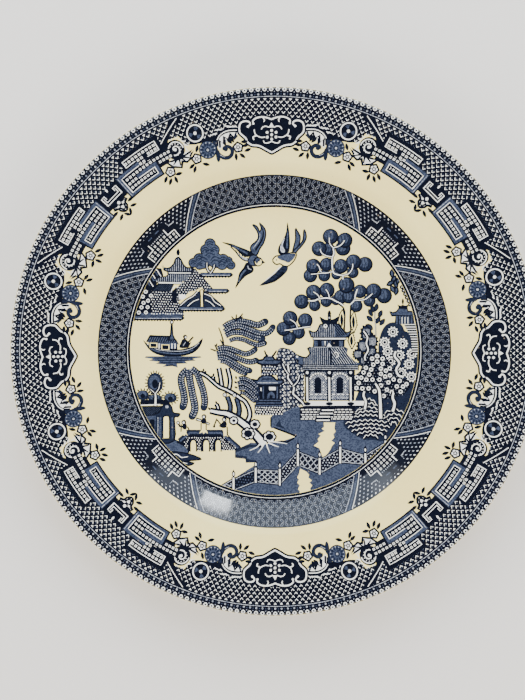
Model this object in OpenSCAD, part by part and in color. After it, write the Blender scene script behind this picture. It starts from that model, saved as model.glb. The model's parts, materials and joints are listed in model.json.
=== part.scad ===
// China dinner plate with a blue transfer-printed landscape.
// One fired clay body, two separate coats of clear glaze, and the patches of
// cobalt ink that lie on the clay under the glaze.
// Millimetres. Z = 0 is the foot's resting plane, and +Y is the top of the picture.

/* [Plate] */
// Diameter over the lip
plate_d = 260; // [235:1:312]
// Height of the lip above the foot's resting plane
plate_h = 22; // [18.4:0.1:27]
// Thickness of the wall, glaze included
wall = 3.8; // [3.1:0.1:4.6]
// Height of the well's face above the resting plane
well_h = 6; // [5:0.1:7.2]
// Diameter of the flat well
well_d = 138; // [115:1:165]

/* [Verge and shoulder] */
// Radius of the hollow curve between the well and the verge
verge_hollow_r = 22; // [18:0.5:26.5]
// Slope of the verge
verge_angle = 28; // [24:0.5:33]
// Length of the straight slope of the verge
verge_len = 12.8; // [10.5:0.1:15.4]
// Radius of the round shoulder between the verge and the rim
shoulder_r = 16; // [13.3:0.1:19.2]

/* [Foot ring] */
// Distance from the edge of the flat well out to the middle of the foot
foot_offset = 3; // [1:0.1:3.4]
// Width of the foot where it joins the base
foot_root_w = 7; // [6.8:0.1:8.4]
// Width of the bare face that the plate stands on
foot_face_w = 2.2; // [1.8:0.1:2.7]
// Height of the bare clay left at the bottom of the foot
foot_bare_h = 0.7; // [0.5:0.1:0.9]

/* [Glaze and ink] */
// Thickness of the clear glaze
glaze_t = 0.3; // [0.2:0.01:0.4]
// Thickness of the ink under the glaze
ink_t = 0.1; // [0.08:0.01:0.12]

/* [Printed bands] */
// Width of the beaded band at the lip, measured in plan
edge_band_w = 4.6; // [3.8:0.1:5.5]
// Clear white between the shoulder and the deepest point of the rim border
rim_border_gap = 1.6; // [1.3:0.1:2]
// Distance from the edge of the flat well out to the trellis band
trellis_gap = 7.4; // [6.2:0.1:8.9]
// Width of the trellis band, measured in plan
trellis_w = 12.4; // [10.4:0.1:14.8]
// Width of the thin line between the landscape and the trellis
line_w = 0.7; // [0.6:0.05:0.85]
// White gap on each side of that thin line
line_gap = 0.7; // [0.6:0.05:0.85]
// Turn of the printed border on the plate, anticlockwise
border_turn = 0.4; // [0:0.1:3]

/* [Hidden] */
$fn = 96;
arc_step = 2;

plate_r = plate_d / 2;
well_r = well_d / 2;
base_h = well_h - wall;
lip_r = wall / 2;
foot_c = well_r + foot_offset;

// Centres of the three curves of the section: the hollow, the shoulder and the lip.
hollow_c = [well_r, well_h + verge_hollow_r];
verge_top = hollow_c + verge_hollow_r * [sin(verge_angle), -cos(verge_angle)]
    + verge_len * [cos(verge_angle), sin(verge_angle)];
shoulder_c = verge_top + shoulder_r * [sin(verge_angle), -cos(verge_angle)];
lip_c = [plate_r - lip_r, plate_h - lip_r];

// The rim is the straight line that touches the shoulder and the lip.
reach = lip_c - shoulder_c;
rim_angle = atan2(reach[1], reach[0]) - asin((shoulder_r - lip_r) / norm(reach));

function around(c, r, a) = c + r * [cos(a), sin(a)];
function arc(c, r, a0, a1) =
    let (n = max(2, ceil(abs(a1 - a0) / arc_step)))
    [for (i = [0:n]) around(c, r, a0 + (a1 - a0) * i / n)];
function back(pts) = [for (i = [len(pts) - 1:-1:0]) pts[i]];
function on_line(a, b, z) = a + (b - a) * (z - a[1]) / (b[1] - a[1]);

// The face from the axis to the lip at a depth d under the finished surface.
function face(d) = concat(
    [[0, well_h - d]],
    arc(hollow_c, verge_hollow_r + d, -90, -90 + verge_angle),
    arc(shoulder_c, shoulder_r - d, 90 + verge_angle, 90 + rim_angle));
function lip(d, last) = arc(lip_c, lip_r - d, 90 + rim_angle, last);

// The back from the lip to the foot's outer root, inset d from the finished surface.
function root_angle(d) =
    -90 + asin((foot_c + foot_root_w / 2 - d - well_r) / (verge_hollow_r + wall - d));
function underside(d) = concat(
    arc(shoulder_c, shoulder_r - wall + d, 90 + rim_angle, 90 + verge_angle),
    arc(hollow_c, verge_hollow_r + wall - d, -90 + verge_angle, root_angle(d)));

foot_out = [foot_c + foot_face_w / 2, 0];
foot_in = [foot_c - foot_face_w / 2, 0];
function inner_root(d) = [foot_c - foot_root_w / 2 + d, base_h + d];
function outer_root(d) = around(hollow_c, verge_hollow_r + wall - d, root_angle(d));

// Radii of the printed bands.
edge_in = plate_r - edge_band_w;
rim_out = edge_in - line_gap;
shoulder_x = shoulder_c[0] - shoulder_r * sin(rim_angle);
rim_in = shoulder_x + rim_border_gap;
trellis_in = well_r + trellis_gap;
trellis_out = trellis_in + trellis_w;
line_out = trellis_in - line_gap;
line_in = line_out - line_w;
scene_r = line_in - line_gap / 2;

// Fraction of the lip's round that the beaded band wraps, as its last angle.
wrap_angle = 25;
quarters = [0:90:270];

// Each revolved layer starts and ends in the gap beside a rim scroll.
seam_turn = 22.95;

// A point of the rim border: degrees clockwise from its quarter's middle, and
// 0 to 1 from the border's inner edge to its outer edge.
function rim_at(a, v) =
    let (r = rim_in + v * (rim_out - rim_in)) [r * sin(a), r * cos(a)];
// The same for the trellis band.
function band_at(a, v) =
    let (r = trellis_in + v * trellis_w) [r * sin(a), r * cos(a)];
function steps(a0, a1, v) = [for (i = [0:6]) [a0 + (a1 - a0) * i / 6, v]];

// A layer that follows the face, from depth d0 down to depth d1.
module layer_section(d0, d1) {
    polygon(concat(face(d0), lip(d0, wrap_angle), back(lip(d1, wrap_angle)), back(face(d1))));
}
module face_layer(d0, d1) rotate(border_turn - seam_turn) rotate_extrude() layer_section(d0, d1);

// The ink itself: the children's outline, laid on the clay.
module ink(tone) {
    color(tone)
        intersection() {
            face_layer(glaze_t - ink_t, glaze_t);
            linear_extrude(plate_h + 1) children();
        }
}
module border_ink(tone) ink(tone) rotate(border_turn) children();

module annulus(r0, r1) {
    difference() {
        circle(r1);
        circle(r0);
    }
}

module four() {
    for (q = quarters) rotate(-q) children();
}

module eight() {
    four() {
        children();
        mirror([1, 0]) children();
    }
}

// ---- Rim border outlines ----

cartouche = [
    [0, 0.0], [1.6, 0.07], [3.4, 0.17], [5.2, 0.19], [6.2, 0.26], [6.5, 0.36],
    [7.8, 0.42], [8.4, 0.52], [8.2, 0.6], [7.4, 0.66], [6, 0.68], [4.9, 0.64],
    [4.2, 0.68], [3.4, 0.71], [1.8, 0.71], [0.9, 0.68], [0, 0.67]
];
module cartouche_outline() {
    half = [for (p = cartouche) rim_at(p[0], p[1])];
    polygon(concat(half, [for (p = back(cartouche)) if (p[0] > 0) rim_at(-p[0], p[1])]));
}

// A unit for the round motifs, so that they keep clear of each other: it follows
// the width of the border, and the room that there is round it.
rim_w = rim_out - rim_in;
motif_u = min(rim_w / 27.6, (rim_in + rim_out) / 222);

roundel_r = 3.7 * motif_u;
module roundel_outline() translate(rim_at(19.4, 0.63)) circle(roundel_r);

rosette_r = 4.1 * motif_u;
module rosette_outline() translate(rim_at(17.2, 0.29)) circle(rosette_r);

scroll_r = 4.4 * motif_u;
module scroll_outline() {
    translate(rim_at(25.6, 0.5)) circle(scroll_r);
    polygon([for (p = [[9.2, 0.36], [9.6, 0.48], [11.6, 0.57], [13.6, 0.52], [14.3, 0.42],
        [14.6, 0.2], [13.6, 0.06], [11.8, 0.09], [11.6, 0.24], [12.6, 0.3], [12.8, 0.4],
        [11, 0.42]]) rim_at(p[0], p[1])]);
}

module dark_fret_outline() {
    polygon([for (p = concat(steps(28.3, 39.2, 0.87), steps(39.2, 35.4, 0.66),
        [[30.7, 0.66], [30.7, 0.38], [28.3, 0.38]])) rim_at(p[0], p[1])]);
}

module blue_fret_outline() {
    polygon([for (p = concat(steps(31.2, 42.2, 0.64), steps(42.2, 31.2, 0.24)))
        rim_at(p[0], p[1])]);
}

module hook_fret_outline() {
    polygon([for (p = concat(steps(42.6, 47.4, 0.69), steps(47.4, 42.6, 0.37)))
        rim_at(p[0], p[1])]);
}

// Each flower: five petals, drawn as a ten-point outline.
flower_r = 2.3 * motif_u;
flower_waist = 0.72;
petals = 5;
flower_spots = [[8.6, 0.18], [21.4, 0.2], [29.6, 0.13]];
module flower_outline(a, v) {
    translate(rim_at(a, v))
        polygon([for (i = [0:2 * petals - 1])
            around([0, 0], flower_r * (i % 2 == 0 ? 1 : flower_waist), 90 + i * 180 / petals)]);
}

module rim_motifs() {
    four() cartouche_outline();
    eight() {
        roundel_outline();
        rosette_outline();
        scroll_outline();
        dark_fret_outline();
        blue_fret_outline();
    }
    four() hook_fret_outline();
}

lattice_in = 0.43;
module lattice_outline() {
    difference() {
        annulus(rim_in + lattice_in * (rim_out - rim_in), rim_out);
        rim_motifs();
    }
}

// ---- Trellis band outlines ----

panel = [[37.8, 0.08], [37.8, 0.42], [40.6, 0.42], [40.6, 0.78], [49.4, 0.78],
    [49.4, 0.42], [52.2, 0.42], [52.2, 0.08]];
module panel_outline() polygon([for (p = panel) band_at(p[0], p[1])]);

module trellis_outline() {
    difference() {
        annulus(trellis_in, trellis_out);
        four() panel_outline();
    }
}

module line_outline() annulus(line_in, line_out);

// ---- Landscape outlines, drawn for a landscape of radius 74 ----

scene_scale = scene_r / 74;
module scene() scale(scene_scale) children();

far_island = [
    [-71.2, 16.5], [-46, 16.3], [-46.3, 20.4], [-26, 20.5], [-25, 22.5], [-33, 29.8],
    [-23.5, 30], [-23, 32], [-31.5, 33], [-37, 38.3], [-21.4, 38.3], [-21.2, 40.6],
    [-30, 41.2], [-21, 42.4], [-20.3, 45], [-22.4, 48.2], [-28, 49.6], [-29, 54.4],
    [-33, 57.8], [-36.4, 55.6], [-38, 50], [-43.6, 46.8], [-42.6, 43.6], [-46.4, 44.4],
    [-48.4, 49], [-49.5, 52.6], [-50.8, 49], [-53, 44.6], [-57.4, 44], [-55.4, 40.4],
    [-60, 42.4], [-62, 39.2], [-66, 31.8], [-69.4, 24]
];
dove_left = [
    [-26.6, 56.4], [-21, 52.6], [-15.4, 46.8], [-16, 43.6], [-19.6, 37], [-19.6, 32.8],
    [-17.2, 35.4], [-12.4, 39], [-10.8, 41.4], [-11.4, 43.8], [-7.4, 44.2], [-5.4, 45.6],
    [-8, 48], [-10.2, 49.2], [-9, 54], [-5, 58.6], [-6, 62.6], [-8, 65.6], [-10.6, 65],
    [-8.6, 60.6], [-12.4, 54.6], [-13.2, 50.8], [-19.4, 54.6]
];
dove_right = [
    [-7.2, 34], [-2, 36], [5, 41], [7, 44.2], [10.4, 47.4], [12, 51.6], [15.8, 56.4],
    [16.4, 60], [15.4, 62.4], [12.6, 57.6], [11.8, 62.4], [10.6, 57], [8.4, 52.8],
    [8, 59], [6.8, 66], [5.8, 59.6], [2.4, 53], [3, 50.2], [0.2, 47.6], [0.6, 45.2],
    [3.6, 44], [0, 41.4], [-3, 37.4]
];
fruit_discs = [
    [29, 59.4], [36.2, 58], [23, 53.4], [29, 52.6], [35.4, 51.6],
    [20.2, 45], [26.6, 45.6], [33.4, 45.2], [40.6, 46.6], [47, 45],
    [18.8, 38.6], [25.6, 38.8], [32.2, 38.8], [40, 40],
    [37.4, 33.6], [35.6, 27.2], [20.6, 31.6], [27.2, 32.4], [14, 26.2], [20.8, 25],
    [27, 25.8], [43.8, 31.2], [50.6, 32], [57, 29], [42.4, 24.6], [49, 25.6],
    [8.4, 17.4], [15.6, 16], [5, 11.6], [12.2, 9.9], [7, 5.6]
];
fruit_disc_r = 3;
fruit_trunk = [[36.4, 23.2], [39.2, 23.2], [39, 18], [39.4, 10.2], [36.2, 10.2], [36.4, 18]];
willow_fronds = [
    [[-27, 13], [-22, 16.6], [-15, 16.8], [-9, 15.2], [-3.6, 14], [-0.8, 11.4], [-4.4, 7.8],
        [-6, 3.6], [-12, 3], [-19, 6], [-25, 5.6]],
    [[-29.6, 2.2], [-24, 3.6], [-18, 1.6], [-12, 0.6], [-9.6, -2.4], [-9, -5.4],
        [-12, -9.6], [-17, -10.6], [-23, -7], [-29, -5.6], [-30.6, -1.6]],
    [[-20.6, -14.4], [-16.4, -13], [-12, -15.4], [-9.2, -19.4], [-9.6, -25], [-13, -24],
        [-18.4, -20.4]],
    [[-49, -15], [-46, -8.6], [-42, -7.8], [-38.6, -9.8], [-36.4, -16], [-34, -24],
        [-36, -30], [-38, -29], [-39, -33.6], [-43.6, -35], [-43, -26], [-46, -28],
        [-49.4, -28.6], [-48.8, -22]]
];
willow_trunk = [
    [-33, -30.4], [-26, -31.6], [-19.4, -33.8], [-19.6, -28.6], [-22.4, -24.6],
    [-27.4, -21.4], [-33.6, -16.4], [-37.4, -10.8], [-33, -15], [-26, -19.8],
    [-20.8, -21.8], [-16.2, -25.4], [-13.6, -31], [-14.2, -36], [-8, -41.6],
    [-4, -46], [-8.2, -46.6], [-9.6, -44.6], [-18, -37.4], [-25.4, -33.6],
    [-33, -31.4]
];
boat = [
    [-67, 4.8], [-64.6, 5.4], [-62.4, 7.6], [-54, 7.2], [-52.6, 15], [-50.6, 7], [-47, 5],
    [-45.4, 7.8], [-42.6, 4.4], [-37.4, 6], [-37.6, 2.4], [-40.6, -1], [-38, -2.4],
    [-42, -5.6], [-50, -7.8], [-56, -7.6], [-62, -5.8], [-65.4, -2.4], [-63, -0.6]
];
gatehouse = [
    [-68, -28], [-63, -27], [-69.6, -24.4], [-69, -20.8], [-65.4, -20.6], [-65, -13],
    [-61.6, -10.4], [-57.6, -12.4], [-55, -17], [-56.4, -22], [-52.4, -20.8], [-50, -23.6],
    [-53.6, -27.2], [-52, -31], [-48.4, -31.8], [-50.4, -33.8], [-52, -34], [-52, -44.8],
    [-49, -46.4], [-44.4, -50.4], [-45.4, -52.4], [-38, -55.6], [-42.4, -57.8], [-46, -57],
    [-55.4, -49], [-61.4, -40.8], [-66, -32.6]
];
bridge = [
    [-48.4, -45.6], [-44.6, -41.4], [-46.6, -37], [-45.6, -35.2], [-43.4, -39.8],
    [-37.4, -40], [-37.8, -36.2], [-36.2, -33.8], [-34.6, -36.2], [-35, -40], [-27.4, -40],
    [-26.2, -35.4], [-24.8, -35.6], [-24.4, -41.6], [-18, -47.6], [-20.4, -50.8],
    [-27.6, -50.8], [-28.6, -46.4], [-30.2, -50.8], [-33.8, -50.8], [-35.4, -46.4],
    [-37, -50.8], [-40.4, -50.8], [-42, -46.4], [-43.8, -50.2]
];
tea_house = [
    [-8.2, -32], [-8.2, -28.6], [-6.8, -26.6], [-6.6, -18.4], [-8.6, -15.4], [-5.4, -13.4],
    [-6, -8], [-7.6, -5.2], [-3.6, -2.6], [-1.6, 0.4], [3.4, 0.6], [4.4, -1.4], [10.6, -3.4],
    [13.6, -8], [13.4, -23], [11.6, -28.4], [6, -30.4], [2, -31.4]
];
pavilion = [
    [14.6, -34.6], [14.2, -27.4], [16.2, -26.6], [16, -10], [14.8, -6.4], [11.4, -3.2],
    [19.2, 0.6], [20, 5.6], [18.2, 10.6], [23, 14.6], [23.6, 17.4], [27.6, 16.8],
    [28.6, 21], [29.6, 16.8], [33.4, 17.4], [34.4, 14], [36, 9.6], [37.4, 6], [38.4, 1],
    [43.4, -5.6], [43.2, -9.4], [40.8, -10], [41.6, -26], [43.2, -27.2], [40.2, -31],
    [36, -35.4]
];
blossom_trees = [
    [44.6, -26], [44.6, -11], [46.4, -4.6], [43.6, 0.4], [43, 7.6], [45.8, 12],
    [50.6, 8.6], [48, 13.6], [48.8, 21], [52, 23.6], [56, 16], [57.6, 13.6], [60.8, 16],
    [59.8, 20.6], [64.2, 22], [66.4, 26.4], [70, 20], [71.8, 12], [72.8, 2], [72.4, -10],
    [70, -20], [64.8, -31.6], [58.6, -37.6], [48, -41], [38.6, -38], [42.4, -31.4]
];
shore = [
    [14, -35.2], [36, -36], [38, -39], [48, -42], [59.4, -38.8], [61.2, -40.8],
    [58.4, -43.6], [57, -46], [46.8, -52], [34.2, -48.6], [24, -54.4], [12.6, -49.6],
    [3, -60.4], [-8.8, -60], [-14, -56.4], [-19.6, -54], [-19.8, -51.4], [-14, -48.4],
    [-8, -47.8], [-2, -46.6], [11, -43.8], [4, -39.8], [-0.6, -38], [-0.8, -34],
    [5, -32.2], [13, -31]
];
fence_rails = [
    [[-27, -68.6], [-21.4, -64.8], [-9.8, -60.4], [-9.4, -67.6], [-20.6, -70.8]],
    [[-8.6, -61], [2.2, -61.4], [2.2, -68.4], [-8.6, -67.6]],
    [[3.4, -61.4], [11.6, -52], [11.8, -58.4], [3.4, -67.6]],
    [[12.6, -51.4], [22.8, -55.6], [22.8, -63.4], [12.6, -59]],
    [[24, -55.6], [33.4, -50.4], [33.4, -57.2], [24, -63.2]],
    [[34.6, -49.8], [46, -53.4], [46, -57.4], [43.6, -59.4], [34.6, -57]],
    [[47.2, -53.4], [56.6, -47], [47.2, -56.6]]
];

module willow_outline() {
    for (f = willow_fronds) polygon(f);
    polygon(willow_trunk);
}

module fruit_tree_outline() {
    for (c = fruit_discs) translate(c) circle(fruit_disc_r);
    polygon(fruit_trunk);
}

// Spans of the section, from the axis outwards, where ink lies under the glaze.
ink_spans = [[0, scene_r], [line_in, line_out], [trellis_in, trellis_out],
    [rim_in, rim_out], [edge_in, plate_r]];

// ---- Nodes ----

module biscuit_body() {
    color("linen")
        rotate_extrude()
            polygon(concat(
                face(glaze_t), lip(glaze_t, -90 + rim_angle), underside(glaze_t),
                [foot_out, foot_in, inner_root(glaze_t), [0, base_h + glaze_t]]));
}

module main_glaze() {
    skin = concat(face(0), lip(0, -90 + rim_angle), underside(0),
        [on_line(outer_root(0), foot_out, foot_bare_h)]);
    seat = concat(face(glaze_t), lip(glaze_t, -90 + rim_angle), underside(glaze_t),
        [on_line(outer_root(glaze_t), foot_out, foot_bare_h)]);
    color("ivory", 0.3)
        rotate_extrude() difference() {
            polygon(concat(skin, back(seat)));
            intersection() {
                layer_section(glaze_t - ink_t, glaze_t + ink_t);
                for (s = ink_spans) translate([s[0], 0]) square([s[1] - s[0], plate_h + 1]);
            }
        }
}

module foot_recess_glaze() {
    color("ivory", 0.3)
        rotate_extrude()
            polygon([
                [0, base_h], inner_root(0), on_line(inner_root(0), foot_in, foot_bare_h),
                on_line(inner_root(glaze_t), foot_in, foot_bare_h), inner_root(glaze_t),
                [0, base_h + glaze_t]]);
}

module edge_bead_print() border_ink("slateblue") annulus(edge_in, plate_r);
module rim_lattice_print() border_ink("steelblue") lattice_outline();
module rim_cartouche_prints() border_ink("midnightblue") four() cartouche_outline();
module rim_roundel_prints() border_ink("midnightblue") eight() roundel_outline();
module rim_rosette_prints() border_ink("royalblue") eight() rosette_outline();
module rim_scroll_prints() border_ink("midnightblue") eight() scroll_outline();
module rim_dark_fret_prints() {
    border_ink("midnightblue") eight() difference() {
        dark_fret_outline();
        blue_fret_outline();
    }
}
module rim_blue_fret_prints() border_ink("royalblue") eight() blue_fret_outline();
module rim_hook_fret_prints() border_ink("midnightblue") four() hook_fret_outline();
module rim_flower_prints() {
    border_ink("midnightblue") eight() for (f = flower_spots) flower_outline(f[0], f[1]);
}
module trellis_print() border_ink("steelblue") trellis_outline();
module trellis_panel_prints() border_ink("midnightblue") four() panel_outline();
module well_line_print() border_ink("midnightblue") line_outline();
module far_island_print() ink("steelblue") scene() polygon(far_island);
module dove_prints() ink("steelblue") scene() {
    polygon(dove_left);
    polygon(dove_right);
}
module fruit_tree_print() ink("royalblue") scene() fruit_tree_outline();
module willow_print() ink("steelblue") scene() willow_outline();
module boat_print() ink("steelblue") scene() polygon(boat);
module gatehouse_print() ink("royalblue") scene() polygon(gatehouse);
module bridge_print() ink("midnightblue") scene() polygon(bridge);
module pavilion_print() ink("royalblue") scene() polygon(pavilion);
module tea_house_print() ink("steelblue") scene() polygon(tea_house);
module blossom_trees_print() ink("royalblue") scene() polygon(blossom_trees);
module shore_print() ink("royalblue") scene() polygon(shore);
module fence_prints() ink("midnightblue") scene() for (f = fence_rails) polygon(f);

biscuit_body();
main_glaze();
foot_recess_glaze();
edge_bead_print();
rim_lattice_print();
rim_cartouche_prints();
rim_roundel_prints();
rim_rosette_prints();
rim_scroll_prints();
rim_dark_fret_prints();
rim_blue_fret_prints();
rim_hook_fret_prints();
rim_flower_prints();
trellis_print();
trellis_panel_prints();
well_line_print();
far_island_print();
dove_prints();
fruit_tree_print();
willow_print();
boat_print();
gatehouse_print();
bridge_print();
pavilion_print();
tea_house_print();
blossom_trees_print();
shore_print();
fence_prints();
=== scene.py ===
"""China dinner plate with a blue landscape: the visible ware, built over its frame.

The print is drawn flat, in plan millimetres, as a stack of painted outlines in
which a later outline covers the earlier ones. The stack is resolved into patches
of ink that share their edges, and the patches are laid on the face of the plate
as thin closed films.
"""

import json
import math

import bpy
import numpy as np
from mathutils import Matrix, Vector
from mathutils.geometry import delaunay_2d_cdt


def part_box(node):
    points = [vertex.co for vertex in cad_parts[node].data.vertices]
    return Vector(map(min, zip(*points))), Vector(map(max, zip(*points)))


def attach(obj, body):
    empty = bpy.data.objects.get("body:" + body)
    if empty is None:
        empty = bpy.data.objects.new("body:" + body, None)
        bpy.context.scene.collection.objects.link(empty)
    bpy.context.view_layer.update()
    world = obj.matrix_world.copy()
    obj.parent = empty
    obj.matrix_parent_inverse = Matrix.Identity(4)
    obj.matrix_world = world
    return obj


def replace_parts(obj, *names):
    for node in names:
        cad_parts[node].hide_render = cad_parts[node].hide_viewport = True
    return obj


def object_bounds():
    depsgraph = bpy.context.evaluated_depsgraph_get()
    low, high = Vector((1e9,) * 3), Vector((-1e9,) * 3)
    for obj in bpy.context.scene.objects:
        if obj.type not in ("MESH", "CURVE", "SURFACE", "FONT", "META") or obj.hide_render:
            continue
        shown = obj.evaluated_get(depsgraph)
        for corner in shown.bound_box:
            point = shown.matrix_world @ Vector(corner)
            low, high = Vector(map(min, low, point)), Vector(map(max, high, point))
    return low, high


bl_info = {
    "name": "Blue landscape plate",
    "version": (1, 0, 0),
    "blender": (4, 5, 0),
    "location": "View3D > Sidebar > Plate",
    "description": "Glazed dinner plate with a printed landscape",
    "category": "Add Mesh",
}

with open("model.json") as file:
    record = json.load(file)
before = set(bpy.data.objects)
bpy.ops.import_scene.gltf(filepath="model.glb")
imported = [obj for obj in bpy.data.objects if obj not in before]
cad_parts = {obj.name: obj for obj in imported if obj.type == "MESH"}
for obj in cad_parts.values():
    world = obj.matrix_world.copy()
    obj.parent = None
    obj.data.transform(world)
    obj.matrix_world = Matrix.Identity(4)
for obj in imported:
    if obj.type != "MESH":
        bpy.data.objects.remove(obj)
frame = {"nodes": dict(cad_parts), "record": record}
CAD_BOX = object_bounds()
MOUNTS = {mount["name"]: mount["pos_m"] for mount in frame["record"]["mounts"]}

MM = 0.001
BODY = "root"
# How far a film of ink stands above the face, and how far it reaches below it.
FILM_LIFT, FILM_SUNK = 0.03, 0.12

# Strengths of the print, from the thickest ink to the thinnest. BARE is unprinted;
# a bare line, or a bare mark under STAINED_AREA, takes a little blue from the ink by it.
BARE, DARK, DEEP, MID, PALE, STAINED = None, 0, 1, 2, 3, 4
STAINED_AREA = 9
# A light line prints at this share of its width, and a dark one this much wider than its width.
LIGHT_SHARE, DARK_SPREAD = 0.8, 0.15

# Radii of the printed bands, from the frame: the plate's edge, and the outer edges of the
# lattice, the trellis and the well line.
PLATE_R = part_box("edge_bead_print")[1][0] / MM
EDGE_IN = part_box("rim_lattice_print")[1][0] / MM
TRELLIS_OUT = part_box("trellis_print")[1][0] / MM
LINE_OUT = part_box("well_line_print")[1][0] / MM
# The inner edge of the trellis, the well line's two edges, and the edge of the landscape.
TRELLIS_IN = 75.4
WELL_LINE = (LINE_OUT - 1.75, LINE_OUT - 0.55)
FIELD_R = 73.9
# Just inside the innermost marks of the border, and of the trellis band.
RIM_IN, WELL_IN = 96, 74
# Half the width of the foot where it stands.
FOOT_EDGE = 1.1


# ---- The section of the plate ----

def arc(centre, radius, start, end, step=3):
    """Points on an arc, with angles in degrees."""
    count = max(2, math.ceil(abs(end - start) / step))
    turns = [math.radians(start + (end - start) * i / count) for i in range(count + 1)]
    return [around(centre, radius, t) for t in turns]


class Section:
    """The lathe-turned section of the plate, in millimetres: (radius, height)."""

    def __init__(self, form):
        self.rim_r = CAD_BOX[1][0] / MM
        self.high = CAD_BOX[1][2] / MM
        self.well_h = MOUNTS["well_face"][2] / MM
        self.foot_c = MOUNTS["foot_face"][0] / MM
        self.wall = form.wall / MM
        self.hollow_r = form.hollow_radius / MM
        self.shoulder_r = form.shoulder_radius / MM
        self.verge = math.degrees(form.verge_angle)
        self.well_r = self.foot_c - form.foot_offset / MM
        self.foot_w = form.foot_root / MM
        self.lip_r = self.wall / 2
        slope = math.radians(self.verge)
        across, up = math.cos(slope), math.sin(slope)
        self.hollow_c = (self.well_r, self.well_h + self.hollow_r)
        run = form.verge_length / MM
        top = (self.hollow_c[0] + self.hollow_r * up + run * across,
               self.hollow_c[1] - self.hollow_r * across + run * up)
        self.shoulder_c = (top[0] + self.shoulder_r * up, top[1] - self.shoulder_r * across)
        self.lip_c = (self.rim_r - self.lip_r, self.high - self.lip_r)
        reach = (self.lip_c[0] - self.shoulder_c[0], self.lip_c[1] - self.shoulder_c[1])
        self.rim = math.degrees(
            math.atan2(reach[1], reach[0])
            - math.asin((self.shoulder_r - self.lip_r) / math.hypot(*reach)))
        line = self.face(0) + self.lip(0, 0)[1:]
        self.radii = np.array([p[0] for p in line])
        self.heights = np.array([p[1] for p in line])
        normals = self.normals(line)
        self.tilt = np.array([math.atan2(n[0], n[1]) for n in normals])

    def face(self, depth):
        return ([(0, self.well_h - depth)]
                + arc(self.hollow_c, self.hollow_r + depth, -90, -90 + self.verge)
                + arc(self.shoulder_c, self.shoulder_r - depth, 90 + self.verge, 90 + self.rim))

    def lip(self, depth, last):
        return arc(self.lip_c, self.lip_r - depth, 90 + self.rim, last, 10)

    def back(self, depth):
        low = (self.foot_c + self.foot_w / 2 - depth - self.well_r) / (self.hollow_r + self.wall - depth)
        root = -90 + math.degrees(math.asin(low))
        return (arc(self.shoulder_c, self.shoulder_r - self.wall + depth, 90 + self.rim, 90 + self.verge)
                + arc(self.hollow_c, self.hollow_r + self.wall - depth, -90 + self.verge, root))

    @staticmethod
    def normals(line):
        """The upward normal at each point of a line that runs outwards."""
        out = []
        for i in range(len(line)):
            a, b = line[max(0, i - 1)], line[min(len(line) - 1, i + 1)]
            if i == 1:
                a, b = line[0], line[1]
            d = math.hypot(b[0] - a[0], b[1] - a[1])
            out.append((-(b[1] - a[1]) / d, (b[0] - a[0]) / d))
        return out

    def lay(self, plan, lift):
        """Plan points laid on the face, lifted along its normal; and the normals."""
        radius = np.hypot(plan[:, 0], plan[:, 1])
        height = np.interp(radius, self.radii, self.heights)
        tilt = np.interp(radius, self.radii, self.tilt)
        unit = plan / np.maximum(radius, 1e-9)[:, None]
        normal = np.column_stack([unit * np.sin(tilt)[:, None], np.cos(tilt)])
        points = np.column_stack([plan, height]) + normal * lift
        return points * MM, normal

    def creases(self):
        """Radii at which a film has to bend, apart from the straight stretches."""
        hollow_end = self.well_r + self.hollow_r * math.sin(math.radians(self.verge))
        out = [self.well_r + (hollow_end - self.well_r) * i / 7 for i in range(8)]
        start = self.shoulder_c[0] - self.shoulder_r * math.sin(math.radians(self.verge))
        end = self.shoulder_c[0] - self.shoulder_r * math.sin(math.radians(self.rim))
        out += [start + (end - start) * i / 4 for i in range(5)]
        return out + [self.lip_c[0] + self.lip_r * k for k in (0, 0.35, 0.6, 0.8)]


# ---- Drawing ----

def smooth(points, closed=False, steps=4):
    """A flowing line through the points."""
    count = len(points)
    out = []
    for i in range(count if closed else count - 1):
        if closed:
            p = [points[(i + k) % count] for k in (-1, 0, 1, 2)]
        else:
            p = [points[min(max(i + k, 0), count - 1)] for k in (-1, 0, 1, 2)]
        for s in range(steps):
            t = s / steps
            w = (-t + 2 * t * t - t ** 3, 2 - 5 * t * t + 3 * t ** 3,
                 t + 4 * t * t - 3 * t ** 3, t ** 3 - t * t)
            out.append(tuple(sum(w[k] * p[k][c] for k in range(4)) / 2 for c in (0, 1)))
    return out if closed else out + [tuple(points[-1])]


def around(centre, reach, turn):
    """The point at a reach from a centre, at a turn in radians."""
    return centre[0] + reach * math.cos(turn), centre[1] + reach * math.sin(turn)


def plan_area(outline):
    return sum(a[0] * b[1] - b[0] * a[1] for a, b in zip(outline, outline[1:] + outline[:1])) / 2


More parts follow.
